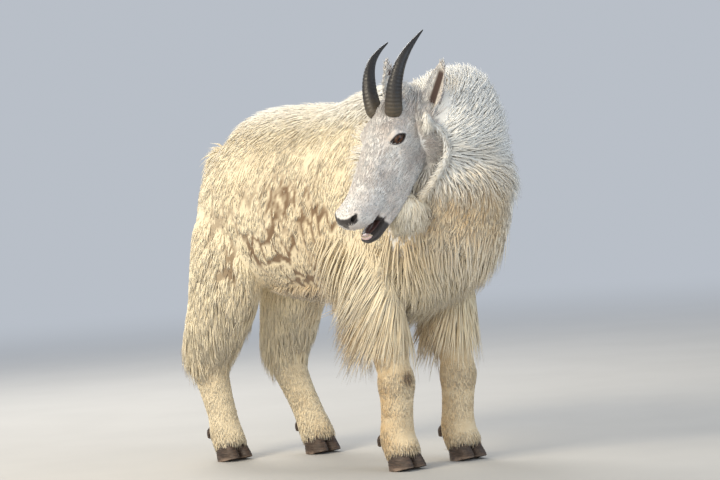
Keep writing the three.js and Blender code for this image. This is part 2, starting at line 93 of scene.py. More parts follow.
FORE_UPPER = [
    (-30, 95, 520, 60, 85, 85), (-28, 98, 440, 58, 74, 72), (-18, 98, 350, 50, 57, 56),
    (-8, 96, 280, 45, 48, 48), (-2, 95, 232, 42, 44, 44),
]
FORE_LOWER = [
    (-6, 95, 290, 26, 28, 26), (-1, 94, 248, 34, 35, 34), (4, 93, 195, 44, 47, 42),
    (3, 92, 155, 40, 41, 40), (0, 91, 110, 38, 38, 41), (-1, 91, 74, 41, 39, 46),
    (5, 91, 50, 42, 44, 42), (11, 91, 31, 42, 44, 38),
]
TAIL = [
    (-606, 0, 706, 24, 20, 20), (-644, 0, 688, 30, 22, 22), (-664, 0, 645, 27, 19, 19),
    (-668, 0, 602, 12, 9, 9),
]
HIND_FEET = {"hindleg_right": (-590, -45), "hindleg_left": (-475, -95)}  # hoof x, hock behind it
FORE_FOOT = (0, 91)
HIND_FOOT_Y = 85

# The head's own frame: ahead to the muzzle, left, and up through the crown
HEAD_AT = np.array([135.0, -192.0, 706.0])
HEAD_AXES = np.array([[0, -0.6157, -0.788], [1, 0, 0], [0, -0.788, 0.6157]])
CROWN = HEAD_AXES[2]
HEAD_ROWS = [  # along the head, up, half width, reach up, reach down
    (-118, -24, 30, 30, 34), (-98, -22, 48, 55, 62), (-62, -18, 53, 64, 78), (-25, -15, 53, 65, 84),
    (10, -14, 50, 59, 86), (45, -12, 46, 51, 80), (80, -12, 42, 44, 67), (115, -12, 39, 38, 54),
    (150, -14, 38, 36, 43), (180, -14, 37, 33, 37), (200, -14, 32, 27, 30), (212, -15, 20, 15, 18),
]
JAW_ROWS = [
    (20, -74, 30, 12, 24), (70, -78, 35, 18, 26), (110, -76, 34, 17, 24), (140, -74, 31, 14, 21),
    (165, -73, 29, 11, 19), (187, -72, 25, 10, 16), (202, -70, 14, 7, 9),
]
TONGUE_ROWS = [
    (130, -66, 14, 4, 6), (155, -64, 16, 4, 6), (172, -63, 15, 4, 6), (183, -63, 10, 3, 5),
    (187, -63, 6, 2, 3),
]
GUM_ROWS = [(186, -65, 8, 2, 5), (191, -64, 14, 4, 6), (196, -64, 14, 5, 6), (200, -66, 8, 3, 4)]
CHEEK_ROWS = [
    (-70, -42, 40, 32, 34), (-25, -52, 47, 36, 42), (25, -60, 46, 36, 44), (70, -60, 42, 30, 36),
    (110, -57, 37, 24, 26), (135, -56, 34, 20, 18), (155, -57, 29, 11, 10),
]
MOUTH_CORNER = 156
MUZZLE_SPAN = (130, 212)  # along the head
MUZZLE_RISE = 13
MUZZLE_ROLL = -9  # degrees
NOSE_MIDDLE = -20  # up
EYE_AT = (-2, 39, 11)
HORN_FOOT = (-54, 30, 43)
HORN_PATH = [
    (4, -5, -12, 0.8), (0, 0, 0, 1), (-33, 9, 28, 0.88), (-72, 17, 46, 0.68), (-108, 23, 51, 0.47),
    (-142, 24, 46, 0.26), (-176, 21, 36, 0.07),
]
EAR_LENGTH = 128
EAR_ROOT = {1: (-71, 56, -20), -1: (-76, -46, -26)}
EAR_WAYS = {1: (-0.75, 0.42, 0.47), -1: (-0.78, -0.12, 0.56)}
EAR_OPENINGS = {1: (0.49, 0.43, 0.71), -1: (0.2, -0.9, -0.3)}
BEARD_AT = (80, 8, -104)
BODY_VOXEL, FACE_VOXEL = 8.0, 1.9
ACROSS_VIEW = np.array([0.669, 0.743, 0.0])  # to the right as the camera sees it
COAT_FROM = 330  # height where the body's coat starts; the coat of the legs overlaps it
TUFT_LIMIT = {2: 19900, 3: 12400, 4: 9000}  # by parts, so that a piece stays under 200,000 triangles

# The camera: its turn, height and roll in degrees, how far it is, and the point it looks at
VIEW_TURN, VIEW_HEIGHT, VIEW_ROLL, VIEW_DISTANCE = 48, 2, 4, 6.5
VIEW_AIM = np.array([-147.0, -31.0, 495.0])
VIEW_LENS, VIEW_SENSOR = 147.7, 36
SKY, SKY_STRENGTH = (0.78, 0.84, 0.93, 1.0), 0.62
LIGHTS = [  # place in metres to the camera's right, towards it and up, size, power, colour
    ("key", (-2.7, 2.0, 2.2), 1.4, 122, (1.0, 0.88, 0.68)),
    ("fill", (2.8, 2.2, 1.0), 2.6, 32, (0.72, 0.86, 1.0)),
    ("front", (-1.0, 3.2, 0.5), 2.4, 38, (1.0, 0.93, 0.80)),
    ("rim", (-1.2, -2.6, 2.4), 1.6, 90, (1.0, 0.97, 0.92)),
]
LIGHTS_AIM_HEIGHT = 0.45
FLOOR_RINGS, FLOOR_SIDES = 24, 48


# ---------------------------------------------------------------- sizes and colours


def length(name, description, default, low=0.0, high=1.0):
    return FloatProperty(name=name, description=description, default=default, min=low, max=high,
                         unit="LENGTH", subtype="DISTANCE")


def colour(name, description, default):
    return FloatVectorProperty(name=name, description=description, default=default, size=3,
                               min=0.0, max=1.0, subtype="COLOR")


class GoatSizes(bpy.types.PropertyGroup):
    """Lengths of the hair and sizes of the parts that a user may change."""

    back_hair: length("Back hair", "Length of the bristles along the spine", 0.042)
    flank_hair: length("Flank wool", "Length of the felted wool on the sides", 0.025)
    mane_hair: length("Mane", "Length of the hair on the hump and neck", 0.054)
    skirt_hair: length("Skirt", "Length of the long hair under the chest", 0.150)
    thigh_hair: length("Thigh hair", "Length of the locks on the thighs", 0.055)
    leg_hair: length("Leg hair", "Length of the short hair on the lower legs", 0.017)
    face_hair: length("Face hair", "Length of the short hair on the face", 0.012)
    beard_hair: length("Beard", "Length of the hair under the jaw", 0.052)
    eye_radius: length("Eye radius", "Radius of an eyeball", 0.019)
    horn_radius: length("Horn radius", "Radius of a horn at its foot", 0.017)
    jaw_open: FloatProperty(name="Jaw opening", description="Angle between the lower jaw and the palate",
                            default=math.radians(5), unit="ROTATION", subtype="ANGLE")
    fullness: FloatProperty(name="Fullness", description="Share of the tufts that are grown",
                            default=1.0, min=0.05, max=1.0, subtype="FACTOR")
    seed: IntProperty(name="Seed", description="Starts the repeatable random numbers", default=7)


class GoatColours(bpy.types.PropertyGroup):
    """Colours of the coat and the bare parts."""

    cream: colour("Cream wool", "Main colour of the coat", (0.90, 0.80, 0.59))
    white: colour("White hair", "Clean hair of the mane, back and face", (0.91, 0.91, 0.88))
    tan: colour("Stained wool", "Tan wool of the chest and belly", (0.62, 0.44, 0.23))
    # Cracks: a dark brown that is partly old brown wool and partly painted shade deep in the cracks and on
    # their edges.
    crack: colour("Cracks", "Old brown wool in the cracks of the felt", (0.14, 0.08, 0.04))
    face: colour("Face", "Short hair over pink skin", (0.55, 0.49, 0.45))
    bare: colour("Bare skin", "Nose, lips and lids", (0.016, 0.013, 0.013))
    horn: colour("Horn", "Dark upper part of the horns", (0.018, 0.016, 0.016))
    horn_foot: colour("Horn foot", "Olive grey rings at the foot of the horns", (0.095, 0.075, 0.05))
    hoof: colour("Hoof", "Horn of the claws", (0.045, 0.030, 0.022))
    eye: colour("Eye", "Brown of the iris", (0.035, 0.014, 0.006))
    # The tongue's colour is kept dark as painted shade inside the mouth.
    tongue: colour("Tongue", "Moist dark tongue", (0.05, 0.022, 0.02))
    floor: colour("Floor", "Pale studio floor", (0.52, 0.51, 0.49))


def sizes():
    return bpy.context.scene.goat_sizes


def colours():
    return bpy.context.scene.goat_colours


# ---------------------------------------------------------------- curves, tubes and noise


def unit(v):
    return v / np.maximum(np.linalg.norm(v, axis=-1, keepdims=True), 1e-9)


def dot(a, b):
    return (a * b).sum(-1)


def on_plane(v, n):
    """The part of v at right angles to n."""
    return v - dot(v, n)[..., None] * n


def smooth(x, low, high):
    """0 below low, 1 above high and a soft step between."""
    t = np.clip((x - low) / (high - low), 0, 1)
    return t * t * (3 - 2 * t)


def bump(x, middle, width):
    """A bell of height 1 round the middle."""
    return np.exp(-((x - middle) / width) ** 2)


def mixed(a, b, t):
    return a + (b - a) * t


def along_rows(rows, at):
    """A Catmull-Rom spline through the rows, read where `at` runs from 0 to 1."""
    rows = np.asarray(rows, float)
    held = np.vstack([2 * rows[0] - rows[1], rows, 2 * rows[-1] - rows[-2]])
    t = np.clip(at, 0, 1) * (len(rows) - 1)
    i = np.minimum(t.astype(int), len(rows) - 2)
    f = (t - i)[..., None]
    a, b, c, d = (held[i + k] for k in range(4))
    return 0.5 * (2 * b + (c - a) * f + (2 * a - 5 * b + 4 * c - d) * f**2 + (3 * b - a - 3 * c + d) * f**3)


def whole_noise(cells, seed):
    """Three repeatable values from 0 to 1 for each whole-number cell, from the tail of a large sine."""
    n = cells @ np.array([127.1, 311.7, 74.7]) + 17.13 * seed
    return np.modf(np.abs(np.sin(n[..., None] * np.array([1.0, 1.31, 1.73])) * 43758.5453))[0]


CORNERS = np.stack(np.meshgrid([0, 1], [0, 1], [0, 1], indexing="ij"), -1).reshape(-1, 3)
NEIGHBOURS = np.stack(np.meshgrid([-1, 0, 1], [-1, 0, 1], [-1, 0, 1], indexing="ij"), -1).reshape(-1, 3)


def soft_noise(p, size, seed=0):
    """Smoothly blended random values, 0 to 1, one for each cell corner of a grid of that size."""
    q = p / size
    i = np.floor(q)
    f = q - i
    f = f * f * (3 - 2 * f)
    total = np.zeros(len(p))
    for c in CORNERS:
        total += np.where(c, f, 1 - f).prod(-1) * whole_noise(i + c, seed)[..., 0]
    return total


def cells(p, size, seed=0):
    """The nearest of randomly placed points, one to a cell, and how much farther the next one is."""
    i = np.floor(p / size)
    near = np.full(len(p), 9.0)
    next_near = np.full(len(p), 9.0)
    centre = np.zeros_like(p)
    for c in NEIGHBOURS:
        point = (i + c + whole_noise(i + c, seed)) * size
        d = np.linalg.norm((p - point) / size, axis=-1)
        closer = d < near
        next_near = np.where(closer, near, np.minimum(next_near, d))
        centre = np.where(closer[:, None], point, centre)
        near = np.where(closer, d, near)
    return centre, next_near - near


def round_angles(sides):
    return np.arange(sides) * 2 * np.pi / sides


def ring_grid(steps, sides):
    """Place along, 0 to 1, and angle round for each vertex of a tube's rings."""
    return np.meshgrid(np.linspace(0, 1, steps + 1), round_angles(sides), indexing="ij")


def closed(rings, tips):
    """Vertices and triangles of a tube from its rings and its two end points."""
    return np.vstack([rings.reshape(-1, 3), tips]), ring_faces(*rings.shape[:2])


class Tube:
    """A tube of elliptical rings along a spline of rows.

    A point at (u, angle) is middle + half width * cos(angle) * side + reach * sin(angle) * up, with
    up the direction nearest to `lean` across the path, and shape(u, angle) added to the radii.
    """

    def __init__(self, rows, lean=UP, shape=None):
        self.rows, self.lean, self.shape = np.asarray(rows, float), lean, shape

    def frame(self, u):
        u = np.asarray(u, float)
        row = along_rows(self.rows, u)
        ahead = along_rows(self.rows, np.clip(u + 0.005, 0, 1))[..., :3]
        behind = along_rows(self.rows, np.clip(u - 0.005, 0, 1))[..., :3]
        along = unit(ahead - behind)
        up = unit(on_plane(np.broadcast_to(self.lean, along.shape), along))
        return row[..., :3], along, up, np.cross(up, along), row[..., 3:6]

    def ring_radii(self, u, angle, radii, out):
        grown = out if self.shape is None else out + self.shape(u, angle)
        wide = radii[..., 0] + grown
        tall = np.where(np.sin(angle) > 0, radii[..., 1], radii[..., 2]) + grown
        return wide, tall

    def at(self, u, angle, out=0.0):
        middle, _, up, side, radii = self.frame(u)
        wide, tall = self.ring_radii(u, angle, radii, out)
        return middle + (wide * np.cos(angle))[..., None] * side + (tall * np.sin(angle))[..., None] * up

    def surface(self, steps, sides, out=0.0):
        """Vertices and triangles of the closed tube, a ring at each step and a point at each end."""
        return closed(self.at(*ring_grid(steps, sides), out), self.tips(max(2.0 + out, 0.5)))

    def tips(self, beyond):
        """A point that far beyond each end."""
        middle, along, *_ = self.frame(np.array([0.0, 1.0]))
        return middle + np.array([[-1.0], [1.0]]) * along * beyond

    def locate(self, p, samples=64):
        """For each point its u, its angle and its distance outside the tube, less than 0 inside."""
        us = np.linspace(0, 1, samples)
        middle = self.frame(us)[0]
        k = ((middle**2).sum(1) - 2 * p @ middle.T).argmin(1)
        u = us[k]
        reach = np.linalg.norm(np.diff(self.frame(us)[0], axis=0), axis=1).sum()
        for _ in range(2):
            middle, along, up, side, radii = self.frame(u)
            u = np.clip(u + 0.8 * dot(p - middle, along) / reach, 0, 1)
        middle, along, up, side, radii = self.frame(u)
        rel = p - middle
        x, y, z = dot(rel, side), dot(rel, up), dot(rel, along)
        tall = np.where(y > 0, radii[:, 1], radii[:, 2])
        angle = np.arctan2(y / tall, x / radii[:, 0])
        wide, tall = self.ring_radii(u, angle, radii, 0.0)
        ring = np.hypot(wide * np.cos(angle), tall * np.sin(angle))
        out = np.hypot(x, y) - ring
        beyond = np.abs(z) > 4
        return u, angle, np.where(beyond, np.hypot(np.maximum(out, 0), z), out)


def ring_faces(rings, sides):
    """Triangles that join each ring of a tube to the next, and the end rings to two end points."""
    r, s = np.meshgrid(np.arange(rings - 1), np.arange(sides), indexing="ij")
    a, b = r * sides + s, r * sides + (s + 1) % sides
    walls = [np.stack([a, b, a + sides], -1), np.stack([b, b + sides, a + sides], -1)]
    s = np.arange(sides)
    t = (s + 1) % sides
    last = (rings - 1) * sides
    first_point = np.full(sides, rings * sides)
    return np.vstack([np.concatenate(walls).reshape(-1, 3), np.stack([first_point, t, s], -1),
                      np.stack([last + s, last + t, first_point + 1], -1)])


def in_head(points):
    """Points (ahead, left, up) of the head's own frame, in the goat's frame."""
    return HEAD_AT + np.asarray(points, float) @ HEAD_AXES


def to_head(p):
    """The inverse of in_head: ahead, left and up in the head's own frame."""
    return (p - HEAD_AT) @ HEAD_AXES.T


def head_rows(rows):
    """Rows of (ahead, up, radii) in the middle of the head, as rows of a Tube."""
    rows = np.asarray(rows, float)
    path = in_head(np.stack([rows[:, 0], 0 * rows[:, 0], rows[:, 1]], -1))
    return np.hstack([path, rows[:, 2:]])


def dropped(rows):
    """Rows of the lower jaw, turned down in front of the corner of the mouth by the jaw's angle."""
    rows = np.asarray(rows, float).copy()
    rows[:, 1] -= math.tan(sizes().jaw_open) * np.maximum(0, rows[:, 0] - MOUTH_CORNER)
    return rows


def muzzle_turned(p, jaw=0.0):
    """Points of the muzzle raised and rolled a little towards its end, as the goat chews.

    With t rising softly from 0 to 1 along the muzzle, up grows by MUZZLE_RISE * t * (1 - jaw) and
    the section rolls by MUZZLE_ROLL * t about the middle of the nose.
    """
    a, l, u = to_head(p).T
    t = smooth(a, *MUZZLE_SPAN)
    roll = np.radians(MUZZLE_ROLL) * t
    up = u - NOSE_MIDDLE
    raised = up * np.cos(roll) + l * np.sin(roll) + NOSE_MIDDLE + MUZZLE_RISE * t * (1 - jaw)
    return in_head(np.stack([a, l * np.cos(roll) - up * np.sin(roll), raised], -1))


def muzzle_straight(p, jaw=0.0):
    """Ahead, left and up of points on the turned muzzle as they were before muzzle_turned."""
    a, l, u = to_head(p).T
    t = smooth(a, *MUZZLE_SPAN)
    roll = np.radians(MUZZLE_ROLL) * t
    up = u - NOSE_MIDDLE - MUZZLE_RISE * t * (1 - jaw)
    return a, l * np.cos(roll) + up * np.sin(roll), up * np.cos(roll) - l * np.sin(roll) + NOSE_MIDDLE


def mirrored(rows, side):
    """Rows with left times side, so -1 brings them to the right."""
    return [(x, side * y, *rest) for x, y, *rest in rows]


def swelling(u, angle, at_row, at_angle, wide, tall, height):
    """A soft bell on both sides of the head, by row along it and degrees above its side."""
    along = (u * (len(HEAD_ROWS) - 1) - at_row) / wide
    turn = np.degrees(np.arctan2(np.sin(angle), np.abs(np.cos(angle)))) - at_angle
    return height * np.exp(-along**2 - (turn / tall) ** 2)


SWELLINGS = [  # row, degrees up, width along, width round, height
    (3.7, 18, 0.7, 22, 9),  # eye socket
    (3.5, 42, 0.8, 18, 8),  # brow
    (4.4, -14, 1.2, 14, 4),  # cheek bone
    (5.6, 12, 0.8, 20, -4),  # hollow before the eye
    (2.9, -50, 1.1, 20, 5),  # jaw muscle
    (9.4, 28, 0.6, 22, 4),  # wing of the nostril
    (8.8, -40, 0.9, 25, 4),  # upper lip
    (8.0, -90, 1.6, 24, -5),  # palate
]


def skull_shape(u, angle):
    return sum(swelling(u, angle, *s) for s in SWELLINGS)


def hind_rows(name):
    """Upper and lower rows of a hind leg, from the hip down to the hoof."""
    foot, behind = HIND_FEET[name]
    hip = -520
    hock = foot + behind
    upper = [
        (hip, 62, 610, 60, 125, 100),
        (mixed(hip, hock, 0.12), 82, 525, 72, 132, 100),
        (mixed(hip, hock, 0.3), 92, 430, 74, 122, 88),
        (mixed(hip, hock, 0.62), 92, 345, 66, 96, 68),
        (mixed(hip, hock, 0.92), 90, 278, 56, 74, 58),
        (hock + 4, 90, 236, 50, 60, 54),
    ]
    lower = [
        (hock + 4, 90, 296, 28, 32, 30),
        (hock + 1, 90, 255, 36, 40, 40),
        (mixed(hock, foot, 0.08), 88, 212, 43, 46, 45),
        (mixed(hock, foot, 0.45), 86, 150, 39, 39, 40),
        (mixed(hock, foot, 0.75), 85, 104, 37, 37, 39),
        (mixed(hock, foot, 0.92), 85, 74, 40, 38, 44),
        (foot + 3, 85, 50, 41, 43, 41),
        (foot + 10, 85, 31, 41, 44, 38),
    ]
    return upper, lower


def tubes():
    """The tubes of the flesh by name, each with how far the skin lies inside it."""
    made = {
        "trunk": (Tube(TRUNK), -7),
        "neck_base": (Tube(NECK_BASE), -7),
        "neck_top": (Tube(NECK_TOP), -7),
        "tail": (Tube(TAIL), -5),
        "head": (Tube(head_rows(HEAD_ROWS), CROWN, skull_shape), -2),
        "jaw": (Tube(head_rows(dropped(JAW_ROWS)), CROWN), -1.5),
    }
    for name in LEG_NAMES:
        side = -1 if name.endswith("right") else 1
        upper, lower = (FORE_UPPER, FORE_LOWER) if name.startswith("fore") else hind_rows(name)
        made[name + "_upper"] = (Tube(mirrored(upper, side), AHEAD), -6)
        made[name + "_lower"] = (Tube(mirrored(lower, side), AHEAD), -4)
    beard = in_head(BEARD_AT)
    rows = [(beard + np.array(move)).tolist() + radii for move, radii in (
        ((0, -6, 22), [22, 22, 22]), ((0, 0, 0), [42, 40, 42]), ((4, 8, -28), [40, 38, 40]),
        ((6, 10, -46), [20, 20, 22]))]
    made["beard"] = (Tube(rows, AHEAD), -14)
    return made


# ---------------------------------------------------------------- meshes


def put(points):
    """Millimetres of the goat's frame to metres of the model's."""
    return (np.asarray(points, float) + SHIFT) / 1000.0


def piece(name, points, faces, slot, replaces=(), material=None):
    """A smooth-shaded object at the origin from arrays of points and triangles."""
    mesh = bpy.data.meshes.new(name)
    faces = np.ascontiguousarray(faces, np.int32)
    mesh.vertices.add(len(points))
    mesh.vertices.foreach_set("co", put(points).astype(np.float32).ravel())
    mesh.loops.add(faces.size)
    mesh.loops.foreach_set("vertex_index", faces.ravel())
    mesh.polygons.add(len(faces))
    mesh.polygons.foreach_set("loop_start", np.arange(0, faces.size, faces.shape[1], dtype=np.int32))
    mesh.update(calc_edges=True)
    if mesh.validate():
        raise RuntimeError(f"{name} has faulty faces")
    mesh.shade_smooth()
    obj = bpy.data.objects.new(name, mesh)
    bpy.context.scene.collection.objects.link(obj)
    if material is not None:
        mesh.materials.append(material)
    if slot:
        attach(obj, "root")
        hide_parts(*replaces)
    return obj


def together(parts):
    """Several (points, faces) as one."""
    points, faces, start = [], [], 0
    for p, f in parts:
        points.append(p)
        faces.append(f + start)
        start += len(p)
    return np.vstack(points), np.vstack(faces)


def settle(obj):
    """Applies every modifier of the object."""
    settled = bpy.data.meshes.new_from_object(obj.evaluated_get(bpy.context.evaluated_depsgraph_get()))
    obj.modifiers.clear()
    old, obj.data = obj.data, settled
    bpy.data.meshes.remove(old)
    obj.data.name = obj.name


def drop(obj):
    """Removes a scratch object and its mesh."""
    mesh = obj.data
    bpy.data.objects.remove(obj)
    bpy.data.meshes.remove(mesh)


def fused(name, parts, voxel, rounds):
    """One closed skin over overlapping tubes, from voxels of that size in millimetres, then smoothed."""
    obj = piece(name, *together(parts), slot=None)
    skin = obj.modifiers.new("fuse", "REMESH")
    skin.mode = "VOXEL"
    skin.voxel_size = voxel / 1000
    soften = obj.modifiers.new("soften", "SMOOTH")
    soften.factor = 0.5
    soften.iterations = rounds
    settle(obj)
    return obj


def combine(obj, parts, operation):
    """Adds or cuts closed parts, each (points, faces)."""
    tools = [piece("tool", *part, slot=None) for part in parts]
    for tool in tools:
        step = obj.modifiers.new(operation, "BOOLEAN")
        step.operation = operation
        step.solver = "MANIFOLD"
        step.object = tool
        settle(obj)
    for tool in tools:
        drop(tool)


def mesh_arrays(obj):
    """Vertices in millimetres of the goat's frame, vertex normals and triangles."""
    mesh = obj.data
    mesh.calc_loop_triangles()
    points = np.empty(3 * len(mesh.vertices), np.float32)
    normals = np.empty_like(points)
    triangles = np.empty(3 * len(mesh.loop_triangles), np.int32)
    mesh.vertices.foreach_get("co", points)
    mesh.vertex_normals.foreach_get("vector", normals)
    mesh.loop_triangles.foreach_get("vertices", triangles)
    points = points.reshape(-1, 3) * 1000.0 - SHIFT
    return points, normals.reshape(-1, 3).astype(float), triangles.reshape(-1, 3)


def store(obj, name, values):
    """A point attribute of the mesh: one number or four for each vertex."""
    values = np.asarray(values, np.float32)
    if values.ndim == 1:
        obj.data.attributes.new(name, "FLOAT", "POINT").data.foreach_set("value", values)
        return
    obj.data.attributes.new(name, "FLOAT_COLOR", "POINT").data.foreach_set("color", values.ravel())


# ---------------------------------------------------------------- markings, the same on skin and coat


def markings(p, wider=0.0):
    """Masks by place: tan stain, brown cracks, white hair and golden leg hair, each 0 to 1.

    Cracks run where two cells of a random pattern are nearly as close; `wider` spreads them.
    """
    x, y, z = p.T
    wavy = p + 26 * (np.stack([soft_noise(p, 60, 1), soft_noise(p, 60, 2), soft_noise(p, 60, 3)], -1) - 0.5)
    right = smooth(-y, 30, 110)
    patchy = soft_noise(p, 55, 4)
    fine = soft_noise(p, 16, 5)
    belly = smooth(-z, -440, -375) * smooth(x, -470, -400) * smooth(-x, -60, 20)
    flank = bump(x, -150, 110) * bump(z, 470, 90) * right * 0.55
    chest = smooth(x, 20, 90) * bump(z, 545, 75) * smooth(y, -175, -100) * smooth(-y, -100, -10)
    stain = np.clip(belly + flank * (0.4 + patchy) + chest * (0.55 + 0.6 * patchy), 0, 1)
    stain = np.clip(stain * (0.65 + 0.6 * fine), 0, 1)

    stretched = wavy * np.array([1.0, 1.0, 0.38])
    lines = 1 - smooth(cells(stretched, 34, 6)[1], 0.02 + wider, 0.09 + wider)
    stretched = wavy * np.array([1.0, 1.0, 0.5])
    small_lines = 1 - smooth(cells(stretched, 19, 7)[1], 0.04 + wider, 0.13 + wider)
    matted = bump(x, -245, 75) * bump(z, 580, 80) * right
    cracked = np.clip(
        bump(x, -150, 120) * bump(z, 430, 130) * right
        + bump(x, -370, 120) * bump(z, 300, 170) * right
        + 0.35 * bump(z, 520, 160) * smooth(x, -640, -500) * smooth(-x, 0, 150), 0, 1)
    crack = np.clip(lines * smooth(patchy, 0.34, 0.50) * cracked * 1.6 + small_lines * matted * 0.9, 0, 1)
    crack = np.maximum(crack, matted * smooth(fine, 0.62, 0.8) * 0.6)

    top = smooth(z, 735, 800) * smooth(-x, -120, 60)
    mane = smooth(x, -60, 60) * smooth(z, 560, 680)
    far_side = smooth(x, 120, 230) * smooth(z, 420, 520)
    white = np.clip(0.75 * top + mane + far_side, 0, 1) * (1 - 0.85 * chest)
    legs = smooth(-z, -300, -200)
    fore = smooth(x, -200, -100)
    gold = legs * np.clip(mixed(0.35, 0.75, fore) * (0.4 + patchy), 0, 1)
    knee = bump(x, 42, 22) * bump(y, -95, 16) * bump(z, 205, 18)
    stain = np.clip(stain + 0.9 * knee, 0, 1)
    crack = np.clip(crack + 0.8 * bump(knee, 1, 0.45), 0, 1)
    return np.stack([stain, crack, white, gold], -1)


def bare_face(p):
    """1 on the black nose, lips and lid rims, 0 on hair."""
    a, l, u = muzzle_straight(p)
    side = np.abs(l)
    ragged = 2.5 * (soft_noise(p, 5, 13) - 0.5)
    pad = smooth(a, 186, 191) * smooth(-side, -33, -29)
    pad = pad * smooth(u + ragged, -10, -7) * smooth(-u + ragged, -8, -5)
    narrowing = 13 - 0.62 * np.maximum(0, -9 - u)
    cleft = smooth(a, 196, 200) * smooth(narrowing - side + ragged, 0, 3)
    cleft = cleft * smooth(-u, -4, 0) * smooth(u, -27, -23)
    below = -14 - along_rows(HEAD_ROWS, rows_at(HEAD_ROWS, a))[:, 4]
    upper_lip = smooth(a, 150, 156) * smooth(-(u - below), -5.5, -3) * smooth(-side, -36, -30)
    ja, _, ju = muzzle_straight(p, 0.75)
    lip_top = along_rows(dropped(JAW_ROWS), rows_at(JAW_ROWS, ja))
    lip_top = lip_top[:, 1] + lip_top[:, 3]
    under_top = smooth(-ju + lip_top, -9, -5)
    lower_lip = smooth(ja, 150, 155) * smooth(ju - lip_top + ragged, -7.0, -5.0) * under_top
    chin = smooth(ja, 196, 200) * smooth(ju - lip_top, -15, -12) * under_top
    lower_lip = np.maximum(lower_lip, chin)
    lids = np.zeros(len(p))
    for side_of in (1, -1):
        middle, outward, ahead, up = eye_frame(side_of)
        rel = p - middle
        x, y = dot(rel, ahead), dot(rel, up)
        away = almond_gap(x, y)
        lids = np.maximum(lids, (1 - smooth(away, 1.6, 3.4)) * smooth(dot(rel, outward), 4, 9))
    on_muzzle = (p[:, 2] > 470) & (p[:, 1] < -150)
    return np.clip((pad + cleft + upper_lip + lower_lip) * on_muzzle + lids, 0, 1)


def rows_at(rows, a):
    """Where along the rows of a head tube a point's first number lies, from 0 to 1."""
    first = [row[0] for row in rows]
    return np.interp(a, first, np.linspace(0, 1, len(first)))


def almond_gap(x, y):
    """Distance from points of the eye's plane to the lid opening, 0 inside it."""
    edge = almond(np.linspace(0, 2, 48, endpoint=False))
    d = np.sqrt(((np.stack([x, y], -1)[:, None] - edge[None]) ** 2).sum(-1)).min(1)
    slope = np.arctan2(16.4, 33.0)
    along = x * np.cos(slope) + y * np.sin(slope)
    off = -x * np.sin(slope) + y * np.cos(slope)
    inside = (np.abs(along) < 18.0) & (np.abs(off) < 8.0 * (1 - (along / 18.5) ** 2))
    return np.where(inside, 0.0, d)


# ---------------------------------------------------------------- the parts of the body


def ear_frame(side):
    """Root of an ear, the way it points and the way its hollow opens."""
    way = unit(np.array(EAR_WAYS[side]) @ HEAD_AXES)
    return in_head(EAR_ROOT[side]), way, unit(np.array(EAR_OPENINGS[side]) @ HEAD_AXES)


def ear_cup(side):
    """Points and faces of an ear: a leaf whose open half is pushed in behind its rim.

    On the open half the depth is reach * sin(angle) * (1 - 1.72 * cup), and cup rises from 0 at the
    root to 1 and falls again at the tip.
    """
    root, way, opening = ear_frame(side)
    rows = [(*(root + way * EAR_LENGTH * s), w, d, d) for s, w, d in (
        (-0.1, 10, 9), (0.1, 15, 11), (0.35, 20, 13), (0.6, 20, 12), (0.82, 13, 9), (1, 3, 3))]
    tube = Tube(rows, opening)
    u, angle = ring_grid(60, 48)
    middle, _, up, across, radii = tube.frame(u)
    cup = smooth(u, 0.16, 0.34) * (1 - smooth(u, 0.9, 0.99))
    open_half = np.sin(angle) > 0
    tall = radii[..., 1] * np.sin(angle) * np.where(open_half, 1 - 1.72 * cup, 1)
    wide = (radii[..., 0] - np.where(open_half, 1.5 * cup, 0)) * np.cos(angle)
    return closed(middle + wide[..., None] * across + tall[..., None] * up, tube.tips(1.5))


def ball(middle, radius, rings=40, sides=56, pole=UP):
    """A ball from rings about an axis through its poles."""
    pole = unit(np.asarray(pole, float))
    side = unit(np.cross(pole, [0.31, 0.77, 0.55]))
    third = np.cross(pole, side)
    t, a = np.meshgrid(np.linspace(0, np.pi, rings + 2)[1:-1], round_angles(sides), indexing="ij")
    circle = np.cos(a)[..., None] * side + np.sin(a)[..., None] * third
    points, faces = closed(np.cos(t)[..., None] * -pole + np.sin(t)[..., None] * circle, [-pole, pole])
    return np.asarray(middle) + points * radius, faces


def eye_frame(side):
    """Middle of an eyeball, and the ways out of the head, forwards and up across its opening."""
    middle = in_head((EYE_AT[0], side * EYE_AT[1], EYE_AT[2]))
    outward = unit(np.array([0.40, side * 0.86, 0.20]) @ HEAD_AXES)
    ahead = unit(on_plane(HEAD_AXES[0], outward))
    up = unit(on_plane(on_plane(CROWN, outward), ahead))
    return middle, outward, ahead, up


def almond(t, grow=0.0):
    """The lid opening: two quadratic curves between the corners, t from 0 to 2."""
    low, high = np.array([-16.5, -8.4]), np.array([16.5, 8.0])
    over, under = np.array([-9.0, 16.0]), np.array([7.0, -13.5])
    f = np.mod(t, 1.0)[..., None]
    top = (1 - f) ** 2 * low + 2 * f * (1 - f) * over + f**2 * high
    bottom = (1 - f) ** 2 * high + 2 * f * (1 - f) * under + f**2 * low
    edge = np.where((np.mod(t, 2.0) < 1)[..., None], top, bottom)
    return edge * (1 + grow / 12)


def almond_prism(side, count=64):
    """The lid opening drawn out from inside the eyeball to beyond the lids, to cut with."""
    middle, outward, ahead, up = eye_frame(side)
    edge = almond(np.linspace(0, 2, count, endpoint=False))
    turned = unit(np.cross(outward, ahead))
    if dot(turned, up) > 0:
        edge = edge[::-1]
    layers = [middle + k * outward + edge[:, :1] * ahead + edge[:, 1:] * up for k in (2.0, 20.0, 45.0)]
    tips = np.stack([middle + 1.9 * outward, middle + 45.1 * outward])
    return np.vstack(layers + [tips]), ring_faces(3, count)


